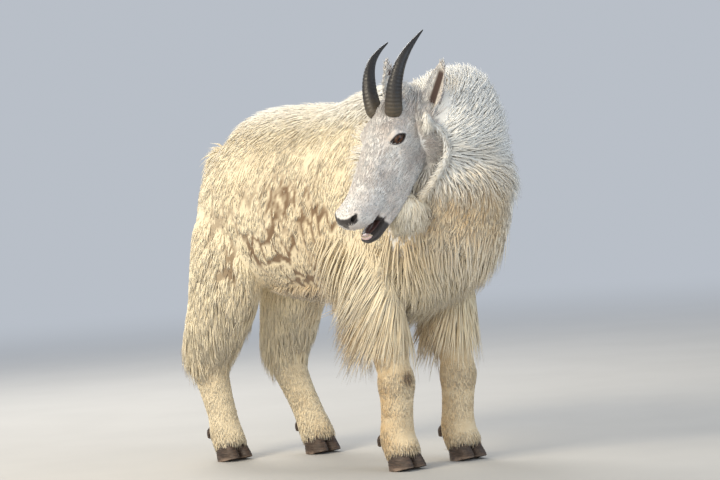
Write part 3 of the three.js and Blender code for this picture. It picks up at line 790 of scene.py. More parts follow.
def nostril_pit(side):
    """A comma-shaped pit: an ellipsoid turned along the wing of the nostril, its inner end lower."""
    points, faces = ball((0, 0, 0), 1.0, 20, 28)
    points = points * np.array([14.0, 6.5, 4.6])
    points[:, 2] -= 0.02 * (points[:, 0] + 6) ** 2 * (points[:, 0] > -6)
    turn = math.radians(-50 * side)
    spin = np.array([[math.cos(turn), -math.sin(turn), 0], [math.sin(turn), math.cos(turn), 0], [0, 0, 1]])
    tilt = math.radians(24)
    nod = np.array([[math.cos(tilt), 0, math.sin(tilt)], [0, 1, 0], [-math.sin(tilt), 0, math.cos(tilt)]])
    return in_head(points @ spin.T @ nod.T + np.array([201.0, side * 22.0, 1.0])), faces


FACE_FORMS = [  # ahead, left, up, reach along each, height along the skin's normal
    (196, 14, 4, 9, 8, 6, 1.8),  # wing above the nostril
    (206, 0, -12, 8, 2.4, 12, -2.2),  # groove between the nostrils
    (190, 0, -44, 14, 3, 9, -1.6),  # cleft of the upper lip
    (186, 22, -42, 16, 8, 7, 2.2),  # edge of the upper lip
    (150, 30, -30, 22, 10, 10, 1.6),  # side of the muzzle
    (118, 34, -46, 12, 8, 8, -2.0),  # crease behind the corner of the mouth
    (64, 36, 8, 26, 12, 10, -1.8),  # hollow below the front of the eye
    (26, 46, -4, 9, 6, 4, -2.4),  # tear groove
    (-2, 52, 30, 22, 12, 6, 2.6),  # brow fold
    (-4, 58, 22, 20, 10, 3, -1.6),  # crease of the upper lid
    (4, 52, -12, 18, 10, 4, 1.8),  # lower lid's bag
    (6, 50, -20, 20, 10, 4, -1.2),  # crease under it
    (-44, 0, 50, 20, 16, 14, 3.0),  # crown between the horns
    (60, 0, 44, 50, 18, 10, 1.0),  # bridge of the nose
]


def shape_face(obj):
    """Moves the skin of the head along its normals by bells of the table's reach and height."""
    points, normals, _ = mesh_arrays(obj)
    q = to_head(points)
    q[:, 1] = np.abs(q[:, 1])
    rise = np.zeros(len(q))
    for a, l, u, ra, rl, ru, height in FACE_FORMS:
        rise += height * np.exp(-(((q - np.array([a, l, u])) / np.array([ra, rl, ru])) ** 2).sum(1))
    rise += 0.5 * (soft_noise(points, 7, 11) - 0.5) + 0.7 * (soft_noise(points, 17, 12) - 0.5)
    moved = put(points + rise[:, None] * normals)
    obj.data.vertices.foreach_set("co", moved.astype(np.float32).ravel())
    obj.data.update()


FLESH = ["head", "jaw", "ear_right", "ear_left", "neck", "shoulders", "barrel", "rump", "tail", "beard"]


def make_skin():
    """One skin: body and head as two shells of voxels, the face shaped and cut, then joined."""
    body, head = [], []
    for name, (tube, inset) in tubes().items():
        if name in ("head", "jaw"):
            points, faces = tube.surface(150, 96, inset)
            head.append((muzzle_turned(points, 0.75 * (name == "jaw")), faces))
        else:
            body.append(tube.surface(64, 56, inset))
    for side in (1, -1):
        head.append(ball(eye_frame(side)[0], 1000 * sizes().eye_radius + 2.6))
        head.append(ear_cup(side))
    points, faces = Tube(head_rows(CHEEK_ROWS), CROWN).surface(150, 96, -2)
    head.append((muzzle_turned(points, 0.4), faces))
    skin = fused("skin", body, BODY_VOXEL, 8)
    face = fused("face", head, FACE_VOXEL, 3)
    shape_face(face)
    cuts = []
    for side in (1, -1):
        cuts.append(ball(eye_frame(side)[0], 1000 * sizes().eye_radius + 0.25))
        cuts.append(almond_prism(side))
        pit, faces = nostril_pit(side)
        cuts.append((muzzle_turned(pit), faces))
    combine(face, cuts, "DIFFERENCE")
    join = skin.modifiers.new("join", "BOOLEAN")
    join.operation = "UNION"
    join.solver = "MANIFOLD"
    join.object = face
    settle(skin)
    drop(face)
    skin.data.shade_smooth()
    points = mesh_arrays(skin)[0]
    store(skin, "marks", markings(points, 0.08))
    store(skin, "face", face_masks(points))
    skin.data.materials.clear()
    skin.data.materials.append(skin_material())
    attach(skin, "root")
    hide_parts(*FLESH, *[n + part for n in LEG_NAMES for part in ("_upper", "_lower")])
    return skin


def face_masks(p):
    """Bare skin, head, ear hollow and mouth hollow as a colour of four masks."""
    a, l, _ = to_head(p).T
    ja, jl, ju = muzzle_straight(p, 0.5)
    on_head = smooth(a, -95, -60) * smooth(-p[:, 1], 95, 125) * (1 - smooth(-p[:, 0], 100, 130))
    on_head = np.where(p[:, 2] < 380, 0, on_head * smooth(-np.abs(l), -90, -68))
    inner = np.zeros(len(p))
    for side in (1, -1):
        root, way, opening = ear_frame(side)
        rel = p - root
        s = dot(rel, way) / EAR_LENGTH
        off = rel - dot(rel, way)[:, None] * way
        depth = dot(off, opening)
        across = np.linalg.norm(off - depth[:, None] * opening, axis=1)
        hollow = smooth(s, 0.12, 0.3) * (1 - smooth(s, 0.8, 0.95)) * (1 - smooth(across, 8, 14))
        hollow = hollow * (1 - smooth(depth, -3, 2)) * (1 - smooth(np.linalg.norm(off, axis=1), 18, 22))
        # Painted shade: only the side of the hollow towards the camera's right, away from the key light, is
        # darkened.
        inner = np.maximum(inner, hollow * smooth(dot(off, ACROSS_VIEW), -5, 2))
    # Painted shade: the inside of the mouth, to be coloured near black.
    mouth = smooth(ja, 128, 140) * (1 - smooth(np.abs(jl), 20, 25)) * smooth(-ju, 46, 50)
    mouth = mouth * smooth(ju, -80, -74) * (1 - smooth(ja, 198, 202))
    return np.stack([bare_face(p), on_head, inner, mouth], -1)


def make_eye(side):
    """An eyeball whose front bulges a little, with place on the iris stored in its vertices."""
    name = "eye_left" if side > 0 else "eye_right"
    middle, outward, ahead, up = eye_frame(side)
    points, faces = ball(middle, 1000 * sizes().eye_radius, 56, 72, outward)
    rel = (points - middle) / (1000 * sizes().eye_radius)
    x, y = dot(rel, ahead), dot(rel, up)
    front = dot(rel, outward)
    points = points + outward * (1.1 * smooth(front, 0.72, 0.98))[:, None]
    obj = piece(name + "ball", points, faces, "eye", [name], eye_material())
    store(obj, "iris", np.stack([0.5 + 0.5 * x, 0.5 + 0.5 * y, 0.5 + 0.5 * front, np.ones(len(x))], -1))
    return obj


def closed_rod(path, radius, sides, outward):
    """A ring-shaped tube along a closed path."""
    along = unit(np.roll(path, -1, 0) - np.roll(path, 1, 0))
    up = unit(on_plane(np.broadcast_to(outward, along.shape), along))
    side = np.cross(up, along)
    a = round_angles(sides)
    circle = np.cos(a)[None, :, None] * side[:, None] + np.sin(a)[None, :, None] * up[:, None]
    points = path[:, None] + radius * circle
    r, s = np.meshgrid(np.arange(len(path)), np.arange(sides), indexing="ij")
    r2, s2 = (r + 1) % len(path), (s + 1) % sides
    a0, a1, b0, b1 = r * sides + s, r * sides + s2, r2 * sides + s, r2 * sides + s2
    faces = np.concatenate([np.stack([a0, a1, b0], -1), np.stack([a1, b1, b0], -1)])
    return points.reshape(-1, 3), faces.reshape(-1, 3)


def make_lid_rims():
    """The wet black edge of the lids, a thin ring on the eyeball along the almond."""
    parts = []
    radius = 1000 * sizes().eye_radius + 0.9
    for side in (1, -1):
        middle, outward, ahead, up = eye_frame(side)
        edge = almond(np.linspace(0, 2, 96, endpoint=False), 0.3)
        flat = edge[:, :1] * ahead + edge[:, 1:] * up
        high = np.sqrt(np.maximum(radius**2 - (edge**2).sum(1), 4.0))
        parts.append(closed_rod(middle + flat + high[:, None] * outward, 1.25, 10, outward))
    return piece("lid_rims", *together(parts), "face", (), bare_material())


def make_horn(side):
    """A tapering, back-curving horn with rings over its lower half.

    A ring adds 0.06 * horn radius * (|sin(pi * walked / 7.5)|^0.5 - 0.7) to the radius, with walked
    the millimetres along the horn, and fades out past the middle.
    """
    name = "horn_left" if side > 0 else "horn_right"
    size = 1.0 if side > 0 else 0.88
    thick = 1000 * sizes().horn_radius
    t, sides = np.linspace(0, 1, 150), 40
    row = along_rows(HORN_PATH, t)
    path = in_head((np.array(HORN_FOOT) + size * row[:, :3]) * np.array([1, side, 1]))
    r = thick * row[:, 3] * (1 - smooth(t, 0.985, 1.0) * 0.6)
    walked = np.concatenate([[0], np.cumsum(np.linalg.norm(np.diff(path, axis=0), axis=1))])
    groove = np.abs(np.sin(walked * np.pi / 7.5)) ** 0.5
    r = r + 0.06 * thick * (groove - 0.7) * smooth(t, 0.12, 0.18) * (1 - smooth(t, 0.42, 0.6))
    along = unit(np.gradient(path, axis=0))
    up = unit(on_plane(np.broadcast_to(CROWN, along.shape), along))
    across = np.cross(up, along)
    a = round_angles(sides)
    ribs = 1 + 0.012 * np.sin(9 * a + 1.3)[None, :] + 0.01 * np.sin(5 * a + walked[:, None] / 30)
    rings = path[:, None] + (r[:, None] * ribs)[..., None] * (
        np.cos(a)[None, :, None] * across[:, None] + 1.12 * np.sin(a)[None, :, None] * up[:, None])
    points, faces = closed(rings, [path[0] - along[0], path[-1] + 0.8 * along[-1]])
    obj = piece(name + "_shell", points, faces, "horn", [name], horn_material())
    store(obj, "rise", np.concatenate([np.repeat(t, sides), [0.0, 1.0]]))
    return obj


def claw(x, y, side, inner):
    """One claw: a toe, flat below, domed above, with a rounded front and fine growth lines.

    A growth line moves the wall by 0.35 * sin(1.1 z) outward, from z = 12 mm up.
    """
    middle = side * (y + inner * 16.5)
    rows = [
        (x + 4, middle, 50, 13, 15, 15), (x + 9, middle, 38, 17.5, 24, 25),
        (x + 14, middle + side * inner, 20, 19, 32, 28), (x + 18, middle + side * inner * 2, 5, 19.5, 37.5, 29),
        (x + 19, middle + side * inner * 2, 0.6, 19, 37.5, 28.5),
    ]
    tube = Tube(rows, AHEAD)
    u, angle = ring_grid(36, 48)
    rings = tube.at(u, angle, 0.0)
    rings[..., 2] = np.maximum(rings[..., 2], 0.0)
    grow_lines = 0.35 * np.sin(rings[..., 2] * 1.1) * smooth(rings[..., 2], 4, 12)
    rings = rings + unit(rings - tube.frame(u)[0]) * grow_lines[..., None]
    top, sole = tube.frame(np.array([0.0, 1.0]))[0]
    return closed(rings, [top + [0, 0, 1.5], sole * [1, 1, 0]])


def dewclaw(x, y, side, inner):
    """A small blunt claw behind the fetlock."""
    rows = [(x - 22, side * (y + inner * 17), 76, 7, 7, 7), (x - 36, side * (y + inner * 18), 66, 9.4, 9.4, 8),
            (x - 44, side * (y + inner * 18), 52, 4, 4, 4)]
    return Tube(rows, UP).surface(20, 24, 0.0)


def make_hoof(name):
    """Two claws and two dewclaws of a leg as one piece."""
    side = -1 if name.endswith("right") else 1
    x, y = FORE_FOOT if name.startswith("fore") else (HIND_FEET[name][0], HIND_FOOT_Y)
    parts = [claw(x, y, side, 1), claw(x, y, side, -1), dewclaw(x, y, side, 1), dewclaw(x, y, side, -1)]
    nodes = [name + "_hoof", name + "_dewclaw_outer", name + "_dewclaw_inner"]
    return piece(name + "_claws", *together(parts), "hoof", nodes, hoof_material())


def make_tongue():
    """The tongue with a groove along it, the gum before it and a row of eight small lower teeth."""
    groove = lambda u, angle: -1.6 * bump(np.degrees(angle), 90, 26) * bump(u, 0.45, 0.4)
    for name, rows, shape, pale in (("tongue_flesh", TONGUE_ROWS, groove, 0.0), ("gum", GUM_ROWS, None, 1.0)):
        points, faces = Tube(head_rows(dropped(rows)), CROWN, shape).surface(60, 40, -0.4)
        piece(name, muzzle_turned(points, 0.75), faces, "tongue", ["tongue"] if pale == 0 else (),
              tongue_material(pale))
    teeth = []
    for k in range(8):
        across = (k - 3.5) * 3.6
        a = 197 - 0.045 * across**2
        foot = -66 - math.tan(sizes().jaw_open) * (a - MOUTH_CORNER)
        rows = [(a, across, foot, 1.8, 1.5, 1.5), (a + 1.5, across * 1.03, foot + 5, 1.9, 1.2, 1.2),
                (a + 2.5, across * 1.05, foot + 8, 1.5, 0.6, 0.6)]
        rows = np.asarray(rows, float)
        tooth = Tube(np.hstack([in_head(rows[:, :3]), rows[:, 3:]]), HEAD_AXES[0])
        points, faces = tooth.surface(10, 12, 0.0)
        teeth.append((muzzle_turned(points, 0.75), faces))
    piece("lower_teeth", *together(teeth), "tongue", (), teeth_material())


# ---------------------------------------------------------------- the coat


def roots(area, seed, inside):
    """Places for tufts spread over the skin, one for each `area` square millimetres.

    Triangles are drawn by their size, a point in each by two random shares, and the normal is
    blended from the corners. inside(points) keeps the wanted ones.
    """
    points, normals, triangles = mesh_arrays(bpy.data.objects["skin"])
    corners = points[triangles]
    keep = inside(corners.mean(1))
    triangles, corners = triangles[keep], corners[keep]
    size = np.linalg.norm(np.cross(corners[:, 1] - corners[:, 0], corners[:, 2] - corners[:, 0]), axis=1) / 2
    rng = np.random.default_rng(sizes().seed + seed)
    count = int(size.sum() / area * sizes().fullness)
    steps = (np.arange(count) + rng.random(count)) / count * size.sum()
    picked = np.minimum(np.searchsorted(np.cumsum(size), steps), len(size) - 1)
    s, t = np.sqrt(rng.random((2, count)))[0], rng.random(count)
    shares = np.stack([1 - s, s * (1 - t), s * t], -1)[..., None]
    p = (corners[picked] * shares).sum(1)
    n = unit((normals[triangles[picked]] * shares).sum(1))
    return p, n, rng


def home_of(p, all_tubes):
    """For each point the tube whose surface is nearest, with its u and angle there."""
    names = list(all_tubes)
    us, angles, outs = (np.stack(v) for v in zip(*(all_tubes[name][0].locate(p) for name in names)))
    insets = np.array([all_tubes[name][1] for name in names])
    home = np.abs(outs - insets[:, None]).argmin(0)
    pick = np.arange(len(p))
    return home, us[home, pick], angles[home, pick], names


def tufts(name, p, n, way, uv, rng, *, long, wide, rise=0.5, hug=0.0, droop=0.0, curl=0.0, turns=1.2,
          clump=0.0, clump_size=18.0, parts=3, sink=2.0, slot="wool", nodes=(), thick=0.5, material=None):
    """A coat piece of flat, tapered tufts, each with its root at p on the skin.

    A tuft is a path of `parts` steps. Each step goes along way + normal * (rise * (1 - s) - hug * s)
    + side * curl * cos(2 pi turns s + phase) - Z * droop * s, made one step long. Tips lean towards
    the middle of their clump by clump * s^1.5. Rings are triangles that narrow as
    (1 - s^2) * (0.8 + 0.5 sin(pi * min(1.6 s, 1))).
    """
    count = len(p)
    number = lambda value: np.broadcast_to(np.asarray(value, float), (count,))
    long, wide, rise, hug, droop, curl, clump = map(number, (long, wide, rise, hug, droop, curl, clump))
    way = unit(on_plane(way, n))
    side = np.cross(n, way)
    phase = rng.random(count) * 2 * np.pi
    s = np.linspace(0, 1, parts + 1)
    path = [p - sink * n]
    for k in range(parts):
        m = s[k] + 0.5 / parts
        go = (way + n * (rise * (1 - m) - hug * m)[:, None]
              + side * (curl * np.cos(2 * np.pi * turns * m + phase))[:, None] - UP * (droop * m)[:, None])
        path.append(path[-1] + unit(go) * (long / parts)[:, None])
    path = np.stack(path, 1)
    middle, _ = cells(p, clump_size, 31)
    lean = on_plane(middle - p, n)
    path = path + (lean * clump[:, None])[:, None, :] * (s**1.5)[None, :, None]
    along = unit(np.gradient(path, axis=1))
    across = unit(np.cross(np.broadcast_to(n[:, None], along.shape), along))
    out = np.cross(along, across)
    t = s[:-1]
    narrow = (1 - t**2)[None, :, None] * (0.8 + 0.5 * np.sin(np.pi * np.minimum(t * 1.6, 1)))[None, :, None]
    half = (wide / 2)[:, None, None] * narrow
    flank = half * across[:, :-1]
    lift = thick * half * out[:, :-1]
    low = 0.35 * thick * half * out[:, :-1]
    ring = path[:, :-1, None, :] + np.stack([flank - low, lift, -flank - low], 2)
    points = np.concatenate([ring.reshape(count, -1, 3), path[:, -1:]], 1)
    one = tuft_faces(parts)
    faces = (one[None] + (np.arange(count) * points.shape[1])[:, None, None]).reshape(-1, 3)
    obj = piece(name, points.reshape(-1, 3), faces, slot, nodes, material or coat_material())
    store(obj, "marks", np.repeat(markings(p), points.shape[1], axis=0))
    rung = np.concatenate([np.repeat(t, 3), [1.0]])
    first, second = np.repeat(rng.random((count, 2)), len(rung), axis=0).T
    store(obj, "strand", np.stack([first, np.tile(rung, count), second, np.ones(len(first))], -1))
    lateral = np.concatenate([np.tile([1.0, 0.5, 0.0], parts), [0.5]])
    patch = np.stack([np.tile(lateral, count), np.tile(rung, count)], -1) - 0.5
    place = np.repeat(uv, len(rung), axis=0) * 0.99 + 0.005 + 0.003 * patch
    layer = obj.data.uv_layers.new(name="OFBake")
    layer.uv.foreach_set("vector", place[faces.ravel()].astype(np.float32).ravel())
    return obj


def tuft_faces(parts):
    """Triangles of one tuft: a root cap, walls between its rings and a point."""
    rows = [(0, 1, 2)]
    for k in range(parts - 1):
        for c in range(3):
            a, b = 3 * k + c, 3 * k + (c + 1) % 3
            rows += [(a, a + 3, b), (b, a + 3, b + 3)]
    last = 3 * (parts - 1)
    rows += [(last + c, 3 * parts, last + (c + 1) % 3) for c in range(3)]
    return np.array(rows)[:, ::-1]


def unwrapped(u, angle, low=0.0, high=1.0):
    """Place on the skin's own unwrap: along the tube by round it."""
    return np.stack([(u - low) / (high - low), np.mod(angle / (2 * np.pi), 1.0)], -1)


def near_head(p):
    """True in a box round the head and on the ears, where the face's hair grows."""
    a, l, u = to_head(p).T
    in_box = (a > -100) & (np.abs(l) < 75) & (u > -100 - 0.05 * a) & (u < 75) & (p[:, 1] < -105)
    return in_box | on_ear(p)


def on_ear(p):
    """True within 22 mm of the line of an ear."""
    found = np.zeros(len(p), bool)
    for side in (1, -1):
        root, way, _ = ear_frame(side)
        rel = p - root
        s = dot(rel, way)
        found |= (s > 8) & (s < 140) & (np.linalg.norm(rel - s[:, None] * way, axis=1) < 22)
    return found


def beside_ear(p):
    """1 next to the line of an ear, 0 beyond 66 mm."""
    near = np.zeros(len(p))
    for side in (1, -1):
        root, way, _ = ear_frame(side)
        rel = p - root
        s = np.clip(dot(rel, way), -10, 120)
        near = np.maximum(near, 1 - smooth(np.linalg.norm(rel - s[:, None] * way, axis=1), 34, 66))
    return near


def whirls(p, size, seed):
    """Slow random directions, so that neighbouring tufts turn together."""
    return np.stack([soft_noise(p, size, seed + k) - 0.5 for k in range(3)], -1)


def coat_pieces(chosen, p, n, way, u, angle, rng, **given):
    """Tufts by groups of roots; arrays in `given` are cut to each group."""
    for name, mask in chosen.items():
        i = np.flatnonzero(mask)[:TUFT_LIMIT[given["parts"]]]
        if len(i):
            span = (u[i].min(), u[i].max() + 1e-6)
            own = {k: (v[i] if isinstance(v, np.ndarray) and len(v) == len(p) else v) for k, v in given.items()}
            tufts(name, p[i], n[i], way[i], unwrapped(u[i], angle[i], *span), rng, **own)


def stopped(p, n, way, long):
    """Lengths cut short where a tuft would lie over a crack, and 8 mm in the cracks themselves."""
    flat = unit(on_plane(way, n))
    cut = np.ones(len(p))
    for f in (0.8, 0.6, 0.4, 0.25):
        cut = np.where(markings(p + flat * (long * f)[:, None])[:, 1] > 0.45, f, cut)
    return np.where(markings(p)[:, 1] > 0.45, 8.0, long * cut)


def make_body_coat():
    """Felted wool of the trunk, open at its cracks, and the longer bristles of back, neck and mane."""
    made = tubes()
    size = sizes()

    def is_mane(q):
        return smooth(q[:, 0], -60, 80) * smooth(q[:, 2], 550, 660) + 1.1 * (soft_noise(q, 13, 77) - 0.5) > 0.5

    p, n, rng = roots(19.5, 1, lambda c: ~near_head(c) & (c[:, 2] > COAT_FROM) & ~is_mane(c))
    crack = markings(p)[:, 1]
    home, u, angle, _ = home_of(p, made)
    x, y, z = p.T
    high = smooth(n[:, 2], 0.45, 0.95)
    low = smooth(-n[:, 2], 0.35, 0.85)
    chest = smooth(x, 60, 150)
    way = (-AHEAD * (0.25 + 0.6 * high + 0.3 * low)[:, None] - UP * (1.0 - 0.6 * high)[:, None]
           + LEFT * (0.5 * high * np.sign(y))[:, None]) + 0.5 * whirls(p, 60, 21) + 0.5 * whirls(p, 24, 24)
    way = way + 0.14 * rng.normal(size=way.shape)
    varied = 0.75 + 0.5 * rng.random(len(p))
    above = mixed(size.flank_hair, size.back_hair, high)
    long = 1000 * mixed(above, 1.5 * size.flank_hair, 0.8 * chest) * varied
    long = stopped(p, n, way, long * (1 - 0.3 * crack))
    lumps = soft_noise(p, 22, 33) + 0.5 * soft_noise(p, 9, 34)
    p = p + n * (3.0 * (lumps - 0.8))[:, None]
    trunk = home < 1
    coat_pieces({
        "coat_rump": trunk & (x < -455) & (y < 0),
        "coat_rump_left": trunk & (x < -455) & (y >= 0),
        "coat_barrel_right": trunk & (x >= -455) & (x < -190) & (y < 0),
        "coat_barrel_left": trunk & (x >= -455) & (x < -190) & (y >= 0),
        "coat_shoulder_right": trunk & (x >= -190) & (y < 0),
        "coat_shoulder_left": trunk & (x >= -190) & (y >= 0),
        "coat_chest": ~trunk,
    }, p, n, way, u, angle, rng, long=long, wide=4.0 * (0.7 + 0.6 * rng.random(len(p))),
        rise=mixed(0.30, 0.85, high) * (0.6 + 0.8 * rng.random(len(p))), hug=0.2, clump=0.25,
        clump_size=16.0, parts=2)

    p, n, rng = roots(18.0, 8, lambda c: ~near_head(c) & (c[:, 2] > COAT_FROM) & is_mane(c))
    _, u, angle, _ = home_of(p, made)
    x, y, z = p.T
    middle = np.array([175.0, -125.0, 700.0])
    away = unit(p - middle)
    lower = smooth(-z, -690, -600)
    top = smooth(n[:, 2], 0.3, 0.9)
    way = mixed(away + 0.3 * UP, -UP + 0.3 * away, lower[:, None])
    way = mixed(way, -AHEAD + 0.5 * away, (0.6 * top)[:, None])
    way = way + 0.45 * whirls(p, 50, 21) + 0.4 * whirls(p, 22, 24) + 0.12 * rng.normal(size=way.shape)
    ears = beside_ear(p)
    edge = smooth(x, -60, 60) * smooth(z, 550, 640)
    long = 1000 * size.mane_hair * (0.7 + 0.5 * rng.random(len(p))) * (
        1 - 0.35 * smooth(z, 690, 760)) * (1 - 0.7 * ears) * (0.55 + 0.45 * edge)
    rise = mixed(0.75, 1.0, top) * (0.6 + 0.7 * rng.random(len(p))) * (1 - 0.6 * ears)
    coat_pieces({"coat_neck_right": (x < 150) & (y < -60), "coat_neck_left": (x < 150) & (y >= -60),
                 "coat_mane_right": (x >= 150) & (y < -60), "coat_mane_left": (x >= 150) & (y >= -60)},
                p, n, way, u, angle, rng, long=long, wide=3.8 * (0.7 + 0.6 * rng.random(len(p))),
                rise=rise, hug=0.12, curl=0.18, clump=0.4, clump_size=15.0, parts=3)


def make_leg_coat():
    """Wool of the thighs and upper arms, and the short hair of the lower legs."""
    made = tubes()
    size = sizes()
    p, n, rng = roots(10.5, 2, lambda c: ~near_head(c) & (c[:, 2] < 560) & (c[:, 2] > 24))
    home, u, angle, names = home_of(p, made)
    chance = rng.random(len(p))
    crack = markings(p)[:, 1]
    swirl = whirls(p, 45, 24) + 0.7 * whirls(p, 20, 27)
    for name in LEG_NAMES:
        hind = name.startswith("hind")
        upper = (home == names.index(name + "_upper")) & (chance < 0.5)
        i = np.flatnonzero(upper)[:TUFT_LIMIT[3]]
        if len(i):
            z = p[i, 2]
            if hind:
                grown = mixed(0.7, 1.25, smooth(-z, -430, -300))
            else:
                grown = mixed(0.8, 0.35, smooth(-z, -350, -270)) * (1.0 if name == "foreleg_right" else 0.7)
            long = 1000 * size.thigh_hair * grown * (0.75 + 0.5 * rng.random(len(i))) * (1 - 0.4 * crack[i])
            way = -UP + np.array([-0.2, 0, 0]) + 0.55 * swirl[i] + 0.1 * rng.normal(size=(len(i), 3))
            long = stopped(p[i], n[i], way, long)
            tufts(name + "_upper_hair", p[i], n[i], way, unwrapped(u[i], angle[i]), rng, long=long,
                  wide=4.2 * (0.7 + 0.6 * rng.random(len(i))), rise=0.42, droop=0.3, curl=0.1, clump=0.6,
                  clump_size=18.0, hug=0.12)
        i = np.flatnonzero(home == names.index(name + "_lower"))[:TUFT_LIMIT[2]]
        foot = smooth(-p[i, 2], -80, -45)
        long = 1000 * size.leg_hair * (1 + 0.35 * foot) * (0.75 + 0.5 * rng.random(len(i)))
        way = -UP + 0.3 * swirl[i] + 0.1 * rng.normal(size=(len(i), 3))
        tufts(name + "_lower_hair", p[i], n[i], way, unwrapped(u[i], angle[i]), rng, long=long,
              wide=2.6 * (0.7 + 0.6 * rng.random(len(i))), rise=0.35, hug=0.15, clump=0.3, clump_size=8.0,
              sink=1.5, slot="leg", parts=2)


def make_skirts():
    """Long hair below the chest and belly, swept back, and down the front of the thighs."""
    made = tubes()
    size = sizes()

    def fringe(c):
        skirt = (c[:, 0] > -150) & (c[:, 0] < 235) & (c[:, 2] < 520) & (c[:, 2] > COAT_FROM)
        belly = (c[:, 0] > -420) & (c[:, 0] <= -150) & (c[:, 2] < 400) & (c[:, 2] > COAT_FROM)
        return (skirt | belly) & ~near_head(c)

    p, n, rng = roots(28.0, 3, fringe)
    keep = rng.random(len(p)) < smooth(-p[:, 2], -505, -400) + 0.15
    p, n = p[keep], n[keep]
    _, u, angle, _ = home_of(p, made)
    x, y, _ = p.T
    full = smooth(x, -190, -70)
    front = smooth(x, 50, 110)
    long = 1000 * size.skirt_hair * mixed(0.3, mixed(1.0, 0.55, front), full)
    long = long * (0.7 + 0.45 * rng.random(len(p)))
    aside = mixed(-mixed(0.35, 0.1, front), -0.12, smooth(y, -60, 20))
    swept = np.stack([mixed(-0.6, 0.0, front), aside, np.full(len(p), -1.0)], -1)
    outward = 0.2 * n * mixed(1.0, 0.2, smooth(y, 0, 80))[:, None]
    way = swept + outward + 0.5 * whirls(p, 60, 27) + 0.07 * rng.normal(size=p.shape)
    for name, side in (("skirt_right", y < -60), ("skirt_left", y >= -60)):
        i = np.flatnonzero(side)[:TUFT_LIMIT[4]]
        tufts(name, p[i], n[i], way[i], unwrapped(u[i], angle[i]), rng, long=long[i],
              wide=3.8 * (0.7 + 0.6 * rng.random(len(i))), rise=0.35, droop=0.45, curl=0.07, clump=0.4,
              clump_size=20.0, parts=4, thick=0.4)


STRANDS = [  # piece, path in the goat frame, radius at the two ends, tufts, length of each, stain
    ("matted_strand", [(218, -134, 744), (225, -112, 716), (224, -98, 686), (213, -104, 656), (202, -116, 630),
                       (189, -129, 606), (172, -138, 584)], (1.5, 13), 1500, 20, 0.9),
    ("ear_tuft", [(214, -150, 764), (217, -148, 750), (216, -146, 736)], (8, 5), 260, 24, 0.0),
]


def make_strands():
    """Loose locks: tufts laid along a bent path, each turned a little round it."""
    rng = np.random.default_rng(sizes().seed + 9)
    parts = 3
    for name, path, radii, count, long, stain in STRANDS:
        path = np.array(path, float)
        t = rng.random(count) ** 0.7
        where = t * (len(path) - 1)
        k = np.minimum(where.astype(int), len(path) - 2)
        f = (where - k)[:, None]
        tangent = unit(np.gradient(path, axis=0))
        p = path[k] * (1 - f) + path[k + 1] * f
        along = unit(tangent[k] * (1 - f) + tangent[k + 1] * f)
        a = rng.random(count) * 2 * np.pi
        first = unit(np.cross(along, (0.3, 0.2, 1.0)))
        n = first * np.cos(a)[:, None] + np.cross(along, first) * np.sin(a)[:, None]
        radius = mixed(radii[0], radii[1], t) * (0.75 + 0.45 * np.sin(t * 40 + a) * soft_noise(p, 12, 51))
        p = p + n * radius[:, None] * 0.7
        turned = along + 0.5 * np.cross(along, n) + 0.15 * rng.normal(size=p.shape)
        obj = tufts(name, p, n, turned, unwrapped(t, a), rng, long=long * (0.7 + 0.6 * rng.random(count)),
                    wide=4.0, rise=0.4, hug=0.5, curl=0.3, clump=0.3, clump_size=12.0, parts=parts)
        dark = stain * (1 - 0.6 * t)
        crack = 0.5 * (stain > 0) * smooth(-t, -0.4, 0.0)
        marks = np.stack([dark, crack, 0 * t + 0.6 * (stain == 0), 0 * t + 0.2], -1)
        store(obj, "marks", np.repeat(marks, 3 * parts + 1, axis=0))


def make_face_hair():
    """Short flat hair of the face, longer on the cheeks, the crown and round the ears."""
    made = tubes()
    shown = {k: made[k] for k in ("head", "jaw")}
    p, n, rng = roots(8.5, 4, near_head)
    bare = bare_face(p)
    masks = face_masks(p)
    keep = (rng.random(len(p)) > bare * 1.3) & (masks[:, 3] < 0.4) & (masks[:, 2] < 0.5)
    middle_clear = np.ones(len(p), bool)
    for side in (1, -1):
        middle, outward, _, _ = eye_frame(side)
        middle_clear &= ~((np.linalg.norm(p - middle, axis=1) < 24) & (dot(p - middle, outward) > 14))
    keep &= middle_clear
    p, n = p[keep], n[keep]
    _, u, angle, _ = home_of(p, shown)
    q = to_head(p)
    back = smooth(-q[:, 0], 20, 80)
    cheek = smooth(-q[:, 2], 10, 60) * smooth(-q[:, 0], -70, 30)
    crown = smooth(q[:, 2], 25, 45) * smooth(-q[:, 0], 20, 60)
    ear = on_ear(p)
    grown = 1 + 1.2 * np.maximum(back, cheek) + 1.3 * smooth(-q[:, 0], 45, 80)
    long = 1000 * sizes().face_hair * (grown + 1.0 * crown - 0.35 * smooth(q[:, 0], 120, 190))
    long = np.where(ear, 11.0, long) * (0.75 + 0.5 * rng.random(len(p)))
    way = -HEAD_AXES[0] + HEAD_AXES[2] * (-0.5 * cheek)[:, None] + 0.16 * rng.normal(size=p.shape)
    ears_way = np.array(EAR_WAYS[1]) @ HEAD_AXES
    way = np.where(ear[:, None], ears_way, way)
    i = np.arange(len(p))[:TUFT_LIMIT[2]]
    tufts("face_hair", p[i], n[i], way[i], unwrapped(u[i], angle[i]), rng, long=long[i],
          wide=1.7 * (1 + 0.6 * back[i]), rise=0.36, hug=0.08, clump=0.35, clump_size=8.0, parts=2,
          sink=1.0, slot="face", material=face_hair_material())


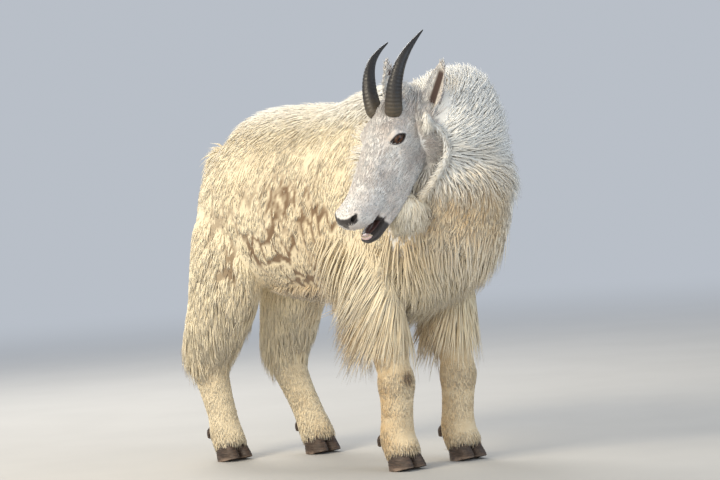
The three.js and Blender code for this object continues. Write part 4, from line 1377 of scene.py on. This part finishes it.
def make_beard():
    """A round fluffy beard: tufts that stand out from the lump under the jaw and hang at their tips."""
    tube, inset = tubes()["beard"]
    rng = np.random.default_rng(sizes().seed + 5)
    count = 2800
    u, angle = 0.03 + 0.95 * rng.random(count), rng.random(count) * 2 * np.pi
    p = tube.at(u, angle, inset)
    n = unit(p - tube.frame(u)[0] + 1e-6)
    way = -UP + 0.25 * HEAD_AXES[0] + 0.35 * n + 0.4 * whirls(p, 24, 41) + 0.12 * rng.normal(size=p.shape)
    long = 1000 * sizes().beard_hair * (0.6 + 0.5 * rng.random(count)) * mixed(1.0, 0.7, u)
    tufts("beard_hair", p, n, way, unwrapped(u, angle), rng, long=long, wide=3.2, rise=1.5, hug=0.2, droop=0.5,
          curl=0.25, clump=0.45, clump_size=13.0, parts=4, slot="wool")


def make_tail_hair():
    """Tufts that hang from the whole of the tail."""
    tube, inset = tubes()["tail"]
    rng = np.random.default_rng(sizes().seed + 6)
    count = 1100
    u, angle = 0.1 + 0.9 * rng.random(count), rng.random(count) * 2 * np.pi
    p = tube.at(u, angle, inset)
    n = unit(p - tube.frame(u)[0] + 1e-6)
    way = -UP + 0.1 * rng.normal(size=p.shape)
    tufts("tail_hair", p, n, way, unwrapped(u, angle), rng, long=55 * (0.6 + 0.6 * rng.random(count)), wide=4.5,
          rise=0.6, droop=0.3, curl=0.15, clump=0.4, clump_size=16.0, parts=4)


# ---------------------------------------------------------------- materials


class Nodes:
    """Adds shader nodes to a tree and joins them."""

    def __init__(self, tree):
        self.tree = tree

    def add(self, kind, **values):
        node = self.tree.nodes.new(kind)
        for key, value in values.items():
            setattr(node, key, value)
        return node

    def join(self, a, b):
        self.tree.links.new(a, b)

    def set(self, socket, value):
        if isinstance(value, bpy.types.NodeSocket):
            self.join(value, socket)
        elif value is not None:
            socket.default_value = value

    def math(self, operation, a, b=None, clamp=False):
        node = self.add("ShaderNodeMath", operation=operation, use_clamp=clamp)
        self.set(node.inputs[0], a)
        self.set(node.inputs[1], b)
        return node.outputs[0]

    def hypot(self, a, b):
        return self.math("SQRT", self.math("ADD", self.math("MULTIPLY", a, a), self.math("MULTIPLY", b, b)))

    def mix(self, a, b, factor, blend="MIX"):
        node = self.add("ShaderNodeMix", data_type="RGBA", blend_type=blend)
        self.set(node.inputs[0], factor)
        self.set(node.inputs[6], a)
        self.set(node.inputs[7], b)
        return node.outputs[2]

    def noise(self, vector, scale, detail=3.0, roughness=0.55, distortion=0.0):
        node = self.add("ShaderNodeTexNoise")
        self.join(vector, node.inputs["Vector"])
        node.inputs["Scale"].default_value = scale
        node.inputs["Detail"].default_value = detail
        node.inputs["Roughness"].default_value = roughness
        node.inputs["Distortion"].default_value = distortion
        return node.outputs["Fac"]

    def ramp(self, value, low, high, start=0.0, end=1.0):
        node = self.add("ShaderNodeMapRange", interpolation_type="SMOOTHSTEP")
        self.join(value, node.inputs["Value"])
        for key, v in (("From Min", low), ("From Max", high), ("To Min", start), ("To Max", end)):
            node.inputs[key].default_value = v
        return node.outputs["Result"]

    def split(self, name):
        """The channels of a stored colour of masks."""
        source = self.add("ShaderNodeAttribute", attribute_name=name)
        parts = self.add("ShaderNodeSeparateColor")
        self.join(source.outputs["Color"], parts.inputs[0])
        return (*parts.outputs, source.outputs["Alpha"])

    def here(self):
        return self.add("ShaderNodeTexCoord").outputs["Object"]

    def stretched(self, vector, scale):
        node = self.add("ShaderNodeMapping")
        self.join(vector, node.inputs["Vector"])
        node.inputs["Scale"].default_value = scale
        return node.outputs["Vector"]

    def bump(self, height, strength, distance):
        node = self.add("ShaderNodeBump")
        node.inputs["Strength"].default_value = strength
        node.inputs["Distance"].default_value = distance
        self.join(height, node.inputs["Height"])
        return node.outputs["Normal"]


def group(name, inputs, outputs):
    """A new shader group with named sockets, and its nodes."""
    tree = bpy.data.node_groups.new(name, "ShaderNodeTree")
    for label, kind, default in inputs:
        socket = tree.interface.new_socket(label, in_out="INPUT", socket_type=kind)
        if default is not None:
            socket.default_value = default
    for label, kind in outputs:
        tree.interface.new_socket(label, in_out="OUTPUT", socket_type=kind)
    nodes = Nodes(tree)
    return tree, nodes, nodes.add("NodeGroupInput"), nodes.add("NodeGroupOutput")


def use(nodes, tree, **values):
    """A node of that shader group with values or links for its inputs."""
    node = nodes.add("ShaderNodeGroup")
    node.node_tree = tree
    for key, value in values.items():
        nodes.set(node.inputs[key.replace("_", " ")], value)
    return node


def rgba(c):
    """A colour with full opacity."""
    return (*c, 1.0)


def wool_group():
    """Colour of wool by the stored markings: cream, white, tan, golden and brown in the cracks."""
    found = bpy.data.node_groups.get("Wool colour")
    if found:
        return found
    labels = ["Cream", "White", "Tan", "Crack"]
    tree, nodes, given, out = group(
        "Wool colour", [(c, "NodeSocketColor", rgba((0.8, 0.8, 0.8))) for c in labels]
        + [("Patches", "NodeSocketFloat", 0.3)], [("Color", "NodeSocketColor"), ("Height", "NodeSocketFloat")])
    stain, crack, white, gold = nodes.split("marks")
    here = nodes.here()
    patches = nodes.noise(here, 9.0, 4.0)
    flecks = nodes.noise(here, 70.0, 3.0, 0.6)
    fine = nodes.noise(here, 420.0, 2.0)
    base = nodes.mix(given.outputs["Cream"], given.outputs["White"], white)
    warm = nodes.mix(given.outputs["Cream"], given.outputs["Tan"], 0.6)
    patched = nodes.math("MULTIPLY", nodes.ramp(patches, 0.42, 0.75), given.outputs["Patches"])
    golden = nodes.math("MULTIPLY", gold, nodes.ramp(flecks, 0.2, 0.7, 0.6, 1.0))
    stained = nodes.math("MULTIPLY", stain, nodes.ramp(flecks, 0.25, 0.75, 0.55, 1.0))
    base = nodes.mix(base, warm, patched)
    base = nodes.mix(base, warm, golden)
    base = nodes.mix(base, given.outputs["Tan"], stained)
    # Partly painted shade: the cracks darken to a brown that stands for old wool and for the shade deep in
    # them.
    base = nodes.mix(base, given.outputs["Crack"], crack)
    specks = nodes.ramp(fine, 0.62, 0.8, 0.0, 0.12)
    nodes.join(nodes.mix(base, rgba((0.5, 0.42, 0.3)), specks), out.inputs["Color"])
    nodes.join(nodes.math("ADD", nodes.math("MULTIPLY", fine, 0.4), flecks), out.inputs["Height"])
    return tree


def material(name):
    """An empty material with its nodes and Principled shader."""
    made = bpy.data.materials.new(name)
    made.use_nodes = True
    nodes = Nodes(made.node_tree)
    shader = next(n for n in made.node_tree.nodes if n.type == "BSDF_PRINCIPLED")
    return made, nodes, shader.inputs


def once(name):
    """Turns a builder of nodes into a material that is made the first time and found after that."""
    def wrap(build):
        def get():
            found = bpy.data.materials.get(name)
            if found is None:
                found, nodes, bsdf = material(name)
                build(nodes, bsdf)
            return found

        get.__doc__ = build.__doc__
        return get

    return wrap


def wool_colour(nodes):
    """The wool group with the model's colours."""
    c = colours()
    return use(nodes, wool_group(), Cream=rgba(c.cream), White=rgba(c.white), Tan=rgba(c.tan),
               Crack=rgba(c.crack))


@once("felted_wool")
def coat_material(nodes, bsdf):
    """Wool tufts: darker at the root, each a little lighter or warmer than the next."""
    wool = wool_colour(nodes)
    chance, rung, second, _ = nodes.split("strand")
    at_root = nodes.ramp(rung, 0.0, 0.4, 0.30, 0.0)
    at_tip = nodes.math("MULTIPLY", nodes.ramp(rung, 0.4, 1.0), 0.3)
    darker = nodes.ramp(chance, 0.6, 1.0, 0.0, 0.14)
    base = nodes.mix(wool.outputs["Color"], rgba((0.50, 0.37, 0.22)), at_root)
    base = nodes.mix(base, rgba((0.93, 0.9, 0.84)), at_tip)
    base = nodes.mix(base, rgba((0.45, 0.33, 0.2)), darker, "MULTIPLY")
    # Painted shade: tufts at and near a crack are darkened once more, as the shade on the crack's edges.
    _, crack, _, _ = nodes.split("marks")
    base = nodes.mix(base, rgba(colours().crack), nodes.math("MULTIPLY", crack, 0.85))
    nodes.join(base, bsdf["Base Color"])
    nodes.join(nodes.ramp(second, 0.0, 1.0, 0.62, 0.9), bsdf["Roughness"])
    streaks = nodes.noise(nodes.stretched(nodes.here(), (1.0, 1.0, 0.35)), 650.0, 2.0)
    nodes.join(nodes.bump(streaks, 0.5, 0.0006), bsdf["Normal"])
    bsdf["Specular IOR Level"].default_value = 0.25
    bsdf["Sheen Weight"].default_value = 0.35
    bsdf["Sheen Roughness"].default_value = 0.5


@once("face_hair")
def face_hair_material(nodes, bsdf):
    """Short white hair of the face, pinkish where it is thin."""
    c = colours()
    chance, rung, second, _ = nodes.split("strand")
    patches = nodes.noise(nodes.here(), 26.0, 3.0)
    base = nodes.mix(rgba(0.80 * np.array(c.white)), rgba(c.face), nodes.ramp(patches, 0.35, 0.7, 0.15, 0.95))
    base = nodes.mix(base, rgba((0.42, 0.36, 0.33)), nodes.ramp(rung, 0.0, 0.7, 0.45, 0.0))
    base = nodes.mix(base, rgba((0.33, 0.27, 0.24)), nodes.ramp(chance, 0.55, 1.0, 0.0, 0.42))
    nodes.join(base, bsdf["Base Color"])
    nodes.join(nodes.ramp(second, 0.0, 1.0, 0.55, 0.85), bsdf["Roughness"])
    nodes.join(nodes.bump(nodes.noise(nodes.here(), 900.0, 2.0), 0.3, 0.0003), bsdf["Normal"])
    bsdf["Sheen Weight"].default_value = 0.3


@once("skin")
def skin_material(nodes, bsdf):
    """Skin under the coat: wool colour on the body, short flat hair on the face, black bare skin."""
    c = colours()
    wool = wool_colour(nodes)
    bare, head, inner, mouth = nodes.split("face")
    here = nodes.here()
    under = nodes.mix(wool.outputs["Color"], rgba((0.45, 0.32, 0.18)), 0.18)
    hair = nodes.noise(nodes.stretched(here, (1.0, 0.5, 0.4)), 700.0, 3.0)
    patches = nodes.noise(here, 24.0, 3.0)
    face = nodes.mix(rgba(c.white), rgba(c.face), nodes.ramp(patches, 0.3, 0.7, 0.25, 1.0))
    face = nodes.mix(face, rgba((0.40, 0.34, 0.31)), nodes.ramp(hair, 0.55, 0.8, 0.0, 0.5))
    base = nodes.mix(under, face, head)
    # Painted shade in the ear hollows.
    base = nodes.mix(base, rgba((0.06, 0.035, 0.028)), inner)
    # Painted shade inside the mouth.
    base = nodes.mix(base, rgba((0.025, 0.010, 0.010)), mouth)
    pores = nodes.noise(here, 1400.0, 2.0)
    black = nodes.mix(rgba(c.bare), rgba((0.05, 0.042, 0.042)), nodes.ramp(pores, 0.4, 0.7))
    base = nodes.mix(base, black, bare)
    nodes.join(base, bsdf["Base Color"])
    rough = nodes.math("SUBTRACT", 0.85, nodes.math("MULTIPLY", bare, nodes.ramp(pores, 0.3, 0.7, 0.5, 0.35)))
    nodes.join(rough, bsdf["Roughness"])
    height = nodes.math("ADD", nodes.math("MULTIPLY", hair, 0.7), nodes.math("MULTIPLY", pores, 0.3))
    nodes.join(nodes.bump(height, 0.6, 0.0008), bsdf["Normal"])
    bsdf["Sheen Weight"].default_value = 0.15


@once("lid_rim")
def bare_material(nodes, bsdf):
    """Wet black skin of the lid rims."""
    pores = nodes.noise(nodes.here(), 900.0, 3.0)
    black = nodes.mix(rgba(colours().bare), rgba((0.05, 0.035, 0.03)), nodes.ramp(pores, 0.4, 0.7))
    nodes.join(black, bsdf["Base Color"])
    nodes.join(nodes.ramp(pores, 0.3, 0.7, 0.25, 0.45), bsdf["Roughness"])
    nodes.join(nodes.bump(pores, 0.3, 0.0004), bsdf["Normal"])


@once("wet_eye")
def eye_material(nodes, bsdf):
    """A wet brown eye: a wide level pupil, radial streaks in the iris and a dark white."""
    c = colours()
    x, y, _, _ = nodes.split("iris")
    dx = nodes.math("SUBTRACT", x, 0.5)
    dy = nodes.math("SUBTRACT", y, 0.5)
    radius = nodes.hypot(dx, dy)
    streaks = nodes.noise(nodes.here(), 900.0, 4.0, 0.7)
    iris = nodes.mix(rgba(c.eye), rgba((0.11, 0.045, 0.018)), nodes.ramp(streaks, 0.35, 0.7))
    iris = nodes.mix(iris, rgba((0.006, 0.004, 0.003)), nodes.ramp(radius, 0.22, 0.27))
    tall = nodes.math("MULTIPLY", dy, 2.6)
    pupil = nodes.hypot(dx, tall)
    iris = nodes.mix(rgba((0.002, 0.002, 0.003)), iris, nodes.ramp(pupil, 0.13, 0.16))
    nodes.join(nodes.mix(rgba((0.03, 0.015, 0.010)), iris, nodes.ramp(radius, 0.30, 0.27)), bsdf["Base Color"])
    nodes.join(nodes.ramp(radius, 0.25, 0.32, 0.06, 0.14), bsdf["Roughness"])
    bsdf["Specular IOR Level"].default_value = 0.25
    bsdf["Coat Weight"].default_value = 0.3
    bsdf["Coat Roughness"].default_value = 0.02


@once("ringed_horn")
def horn_material(nodes, bsdf):
    """Black horn with lengthwise streaks, olive grey and ringed at its foot."""
    c = colours()
    rise = nodes.add("ShaderNodeAttribute", attribute_name="rise").outputs["Fac"]
    here = nodes.here()
    streaks = nodes.noise(nodes.stretched(here, (1.0, 1.0, 0.25)), 260.0, 4.0, 0.6)
    rings = nodes.math("SINE", nodes.math("MULTIPLY", rise, 190.0))
    foot = nodes.ramp(nodes.math("ADD", rise, nodes.math("MULTIPLY", streaks, 0.12)), 0.42, 0.16)
    ringed = nodes.mix(rgba(c.horn_foot), rgba((0.045, 0.038, 0.028)), nodes.ramp(rings, -0.3, 0.9, 0.0, 0.55))
    base = nodes.mix(rgba(c.horn), ringed, foot)
    base = nodes.mix(base, rgba((0.09, 0.085, 0.08)), nodes.ramp(streaks, 0.55, 0.8, 0.0, 0.35))
    nodes.join(base, bsdf["Base Color"])
    nodes.join(nodes.ramp(streaks, 0.3, 0.7, 0.34, 0.52), bsdf["Roughness"])
    nodes.join(nodes.bump(streaks, 0.35, 0.0008), bsdf["Normal"])


@once("hoof_horn")
def hoof_material(nodes, bsdf):
    """Dull brown horn with growth lines, dusty and worn pale at the ground."""
    here = nodes.here()
    lines = nodes.noise(nodes.stretched(here, (0.25, 0.25, 2.2)), 240.0, 3.0)
    dust = nodes.noise(here, 60.0, 4.0)
    base = nodes.mix(rgba(colours().hoof), rgba((0.13, 0.085, 0.06)), nodes.ramp(lines, 0.4, 0.7, 0.0, 0.8))
    height = nodes.add("ShaderNodeSeparateXYZ")
    nodes.join(here, height.inputs[0])
    worn = nodes.math("MULTIPLY", nodes.ramp(height.outputs["Z"], 0.014, 0.002), nodes.ramp(dust, 0.35, 0.65))
    nodes.join(nodes.mix(base, rgba((0.30, 0.22, 0.17)), worn), bsdf["Base Color"])
    nodes.join(nodes.ramp(dust, 0.3, 0.7, 0.45, 0.75), bsdf["Roughness"])
    nodes.join(nodes.bump(lines, 0.5, 0.001), bsdf["Normal"])


def tongue_material(pale):
    """Moist flesh: 0 for the dark tongue, 1 for the pale gum."""
    made, nodes, bsdf = material("moist_gum" if pale else "moist_tongue")
    buds = nodes.noise(nodes.here(), 1100.0, 3.0)
    flesh = mixed(np.array(colours().tongue), np.array((0.68, 0.50, 0.47)), pale)
    nodes.join(nodes.mix(rgba(flesh), rgba(1.25 * flesh), nodes.ramp(buds, 0.4, 0.7)), bsdf["Base Color"])
    nodes.join(nodes.ramp(buds, 0.3, 0.7, 0.22, 0.4), bsdf["Roughness"])
    nodes.join(nodes.bump(buds, 0.5, 0.0005), bsdf["Normal"])
    bsdf["Subsurface Weight"].default_value = 0.2
    bsdf["Subsurface Radius"].default_value = (0.004, 0.002, 0.001)
    return made


@once("milky_teeth")
def teeth_material(nodes, bsdf):
    """Milky enamel, yellower in patches."""
    grain = nodes.noise(nodes.here(), 600.0, 3.0)
    enamel = nodes.mix(rgba((0.72, 0.63, 0.46)), rgba((0.5, 0.38, 0.22)), nodes.ramp(grain, 0.45, 0.75))
    nodes.join(enamel, bsdf["Base Color"])
    nodes.join(nodes.ramp(grain, 0.3, 0.7, 0.2, 0.35), bsdf["Roughness"])


@once("floor")
def floor_material(nodes, bsdf):
    """Pale ground that fades into the sky's own colour far away."""
    speckle = nodes.noise(nodes.here(), 3.0, 4.0)
    c = np.array(colours().floor)
    bsdf["Roughness"].default_value = 0.9
    reach = nodes.add("ShaderNodeVectorMath", operation="LENGTH")
    nodes.join(nodes.here(), reach.inputs[0])
    far = nodes.ramp(reach.outputs["Value"], 1.6, 7.0)
    near = nodes.mix(rgba(c), rgba(0.96 * c), nodes.ramp(speckle, 0.3, 0.7))
    nodes.join(nodes.mix(near, rgba((0, 0, 0)), far), bsdf["Base Color"])
    bsdf["Emission Color"].default_value = SKY
    nodes.join(nodes.math("MULTIPLY", far, SKY_STRENGTH), bsdf["Emission Strength"])
    bsdf["Specular IOR Level"].default_value = 0.0


# ---------------------------------------------------------------- stage


def set_axes(obj, x, y, z, spot):
    """Puts an object at the spot, with those three directions as its axes."""
    matrix = np.eye(4)
    matrix[:3] = np.stack([x, y, z, spot], 1)
    obj.matrix_world = Matrix(matrix.tolist())


def make_floor():
    """A round sheet whose rings grow from 0.5 m to 60 m, level with the soles of the hooves."""
    r, a = np.meshgrid(np.geomspace(0.5, 60, FLOOR_RINGS), round_angles(FLOOR_SIDES), indexing="ij")
    points = np.stack([r * np.cos(a), r * np.sin(a), 0 * r], -1).reshape(-1, 3)
    points = np.vstack([points, [[0, 0, 0]]]) * 1000 - SHIFT
    k, s = np.meshgrid(np.arange(FLOOR_RINGS - 1), np.arange(FLOOR_SIDES), indexing="ij")
    t = (s + 1) % FLOOR_SIDES
    near, far = k * FLOOR_SIDES, (k + 1) * FLOOR_SIDES
    walls = np.concatenate([np.stack([near + s, far + s, near + t], -1),
                            np.stack([far + s, far + t, near + t], -1)]).reshape(-1, 3)
    s = np.arange(FLOOR_SIDES)
    middle = np.stack([np.full(FLOOR_SIDES, FLOOR_RINGS * FLOOR_SIDES), s, (s + 1) % FLOOR_SIDES], -1)
    floor = piece("floor", points, np.vstack([walls, middle]), None, material=floor_material())


def make_stage():
    """A pale floor that runs to the horizon, soft lights and the camera of the photograph."""
    make_floor()
    bpy.context.scene.view_settings.view_transform = "Standard"

    world = bpy.data.worlds.new("studio")
    world.use_nodes = True
    sky = next(n for n in world.node_tree.nodes if n.type == "BACKGROUND")
    sky.inputs["Color"].default_value = SKY
    sky.inputs["Strength"].default_value = SKY_STRENGTH
    bpy.context.scene.world = world

    az, el, roll = (math.radians(v) for v in (VIEW_TURN, VIEW_HEIGHT, VIEW_ROLL))
    back = np.array([math.sin(az) * math.cos(el), -math.cos(az) * math.cos(el), math.sin(el)])
    right = np.array([math.cos(az), math.sin(az), 0.0])
    up = np.cross(back, right)
    turned = right * math.cos(roll) - up * math.sin(roll)
    upright = up * math.cos(roll) + right * math.sin(roll)
    aim = (VIEW_AIM + SHIFT) / 1000
    camera = bpy.data.objects.new("camera", bpy.data.cameras.new("camera"))
    camera.data.sensor_width = VIEW_SENSOR
    camera.data.lens = VIEW_LENS
    camera.data.clip_end = 200
    bpy.context.scene.collection.objects.link(camera)
    set_axes(camera, turned, upright, back, aim + VIEW_DISTANCE * back)
    bpy.context.scene.camera = camera

    middle = np.array([*aim[:2], LIGHTS_AIM_HEIGHT])
    for name, (to_right, towards, above), size, power, tint in LIGHTS:
        spot = to_right * right + towards * back + above * UP
        light = bpy.data.objects.new(name, bpy.data.lights.new(name, "AREA"))
        light.data.size = size
        light.data.energy = power
        light.data.color = tint
        bpy.context.scene.collection.objects.link(light)
        z = unit(spot)
        x = unit(np.cross(UP, z))
        set_axes(light, x, np.cross(z, x), z, middle + spot)


# ---------------------------------------------------------------- the add-on


def make_eyes():
    for side in (1, -1):
        make_eye(side)
    make_lid_rims()


def make_horns():
    for side in (1, -1):
        make_horn(side)


def make_hooves():
    for name in LEG_NAMES:
        make_hoof(name)


class GOAT_OT_skin(bpy.types.Operator):
    """Make one skin from the nose to the fetlocks."""

    bl_idname = "goat.skin"
    bl_label = "Skin"
    bl_options = {"REGISTER", "UNDO"}

    def execute(self, context):
        make_skin()
        return {"FINISHED"}


class GOAT_OT_eyes(bpy.types.Operator):
    """Make two wet brown eyes and the rims of their lids."""

    bl_idname = "goat.eyes"
    bl_label = "Eyes"
    bl_options = {"REGISTER", "UNDO"}

    def execute(self, context):
        make_eyes()
        return {"FINISHED"}


class GOAT_OT_horns(bpy.types.Operator):
    """Make two ringed, back-curving horns."""

    bl_idname = "goat.horns"
    bl_label = "Horns"
    bl_options = {"REGISTER", "UNDO"}

    def execute(self, context):
        make_horns()
        return {"FINISHED"}


class GOAT_OT_hooves(bpy.types.Operator):
    """Make four cloven hooves with their dewclaws."""

    bl_idname = "goat.hooves"
    bl_label = "Hooves"
    bl_options = {"REGISTER", "UNDO"}

    def execute(self, context):
        make_hooves()
        return {"FINISHED"}


class GOAT_OT_mouth(bpy.types.Operator):
    """Make the tongue, the gum and the lower front teeth."""

    bl_idname = "goat.mouth"
    bl_label = "Mouth"
    bl_options = {"REGISTER", "UNDO"}

    def execute(self, context):
        make_tongue()
        return {"FINISHED"}


class GOAT_OT_body_coat(bpy.types.Operator):
    """Grow the felted wool of the trunk and the mane."""

    bl_idname = "goat.body_coat"
    bl_label = "Body coat"
    bl_options = {"REGISTER", "UNDO"}

    def execute(self, context):
        make_body_coat()
        return {"FINISHED"}


class GOAT_OT_leg_coat(bpy.types.Operator):
    """Grow the locks of the thighs and the short hair of the lower legs."""

    bl_idname = "goat.leg_coat"
    bl_label = "Leg coat"
    bl_options = {"REGISTER", "UNDO"}

    def execute(self, context):
        make_leg_coat()
        return {"FINISHED"}


class GOAT_OT_skirts(bpy.types.Operator):
    """Grow the long hair below the chest and belly."""

    bl_idname = "goat.skirts"
    bl_label = "Skirts"
    bl_options = {"REGISTER", "UNDO"}

    def execute(self, context):
        make_skirts()
        return {"FINISHED"}


class GOAT_OT_face_hair(bpy.types.Operator):
    """Grow the short hair of the face and ears."""

    bl_idname = "goat.face_hair"
    bl_label = "Face hair"
    bl_options = {"REGISTER", "UNDO"}

    def execute(self, context):
        make_face_hair()
        return {"FINISHED"}


class GOAT_OT_beard(bpy.types.Operator):
    """Grow the round beard and the loose locks beside the cheek."""

    bl_idname = "goat.beard"
    bl_label = "Beard"
    bl_options = {"REGISTER", "UNDO"}

    def execute(self, context):
        make_beard()
        make_strands()
        return {"FINISHED"}


class GOAT_OT_tail_hair(bpy.types.Operator):
    """Grow the hair of the tail."""

    bl_idname = "goat.tail_hair"
    bl_label = "Tail hair"
    bl_options = {"REGISTER", "UNDO"}

    def execute(self, context):
        make_tail_hair()
        return {"FINISHED"}


class GOAT_OT_stage(bpy.types.Operator):
    """Lay the floor and set the lights and the camera."""

    bl_idname = "goat.stage"
    bl_label = "Stage"
    bl_options = {"REGISTER", "UNDO"}

    def execute(self, context):
        make_stage()
        return {"FINISHED"}


OPERATORS = [
    GOAT_OT_skin, GOAT_OT_eyes, GOAT_OT_horns, GOAT_OT_hooves,
    GOAT_OT_mouth, GOAT_OT_body_coat, GOAT_OT_leg_coat, GOAT_OT_skirts,
    GOAT_OT_face_hair, GOAT_OT_beard, GOAT_OT_tail_hair, GOAT_OT_stage,
]


class GOAT_PT_panel(bpy.types.Panel):
    """Sizes, colours and the steps that make the goat."""

    bl_label = "Mountain goat"
    bl_idname = "GOAT_PT_panel"
    bl_space_type = "VIEW_3D"
    bl_region_type = "UI"
    bl_category = "Goat"

    def draw(self, context):
        for group_of in (context.scene.goat_sizes, context.scene.goat_colours):
            box = self.layout.box()
            for key in group_of.__annotations__:
                box.prop(group_of, key)
        for step in OPERATORS:
            self.layout.operator(step.bl_idname)


CLASSES = [GoatSizes, GoatColours, *OPERATORS, GOAT_PT_panel]


def register():
    for cls in CLASSES:
        bpy.utils.register_class(cls)
    bpy.types.Scene.goat_sizes = PointerProperty(type=GoatSizes)
    bpy.types.Scene.goat_colours = PointerProperty(type=GoatColours)


def unregister():
    del bpy.types.Scene.goat_colours
    del bpy.types.Scene.goat_sizes
    for cls in reversed(CLASSES):
        bpy.utils.unregister_class(cls)


def main():
    register()
    for step in OPERATORS:
        getattr(bpy.ops.goat, step.bl_idname.split(".")[1])()


if __name__ == "__main__":
    main()
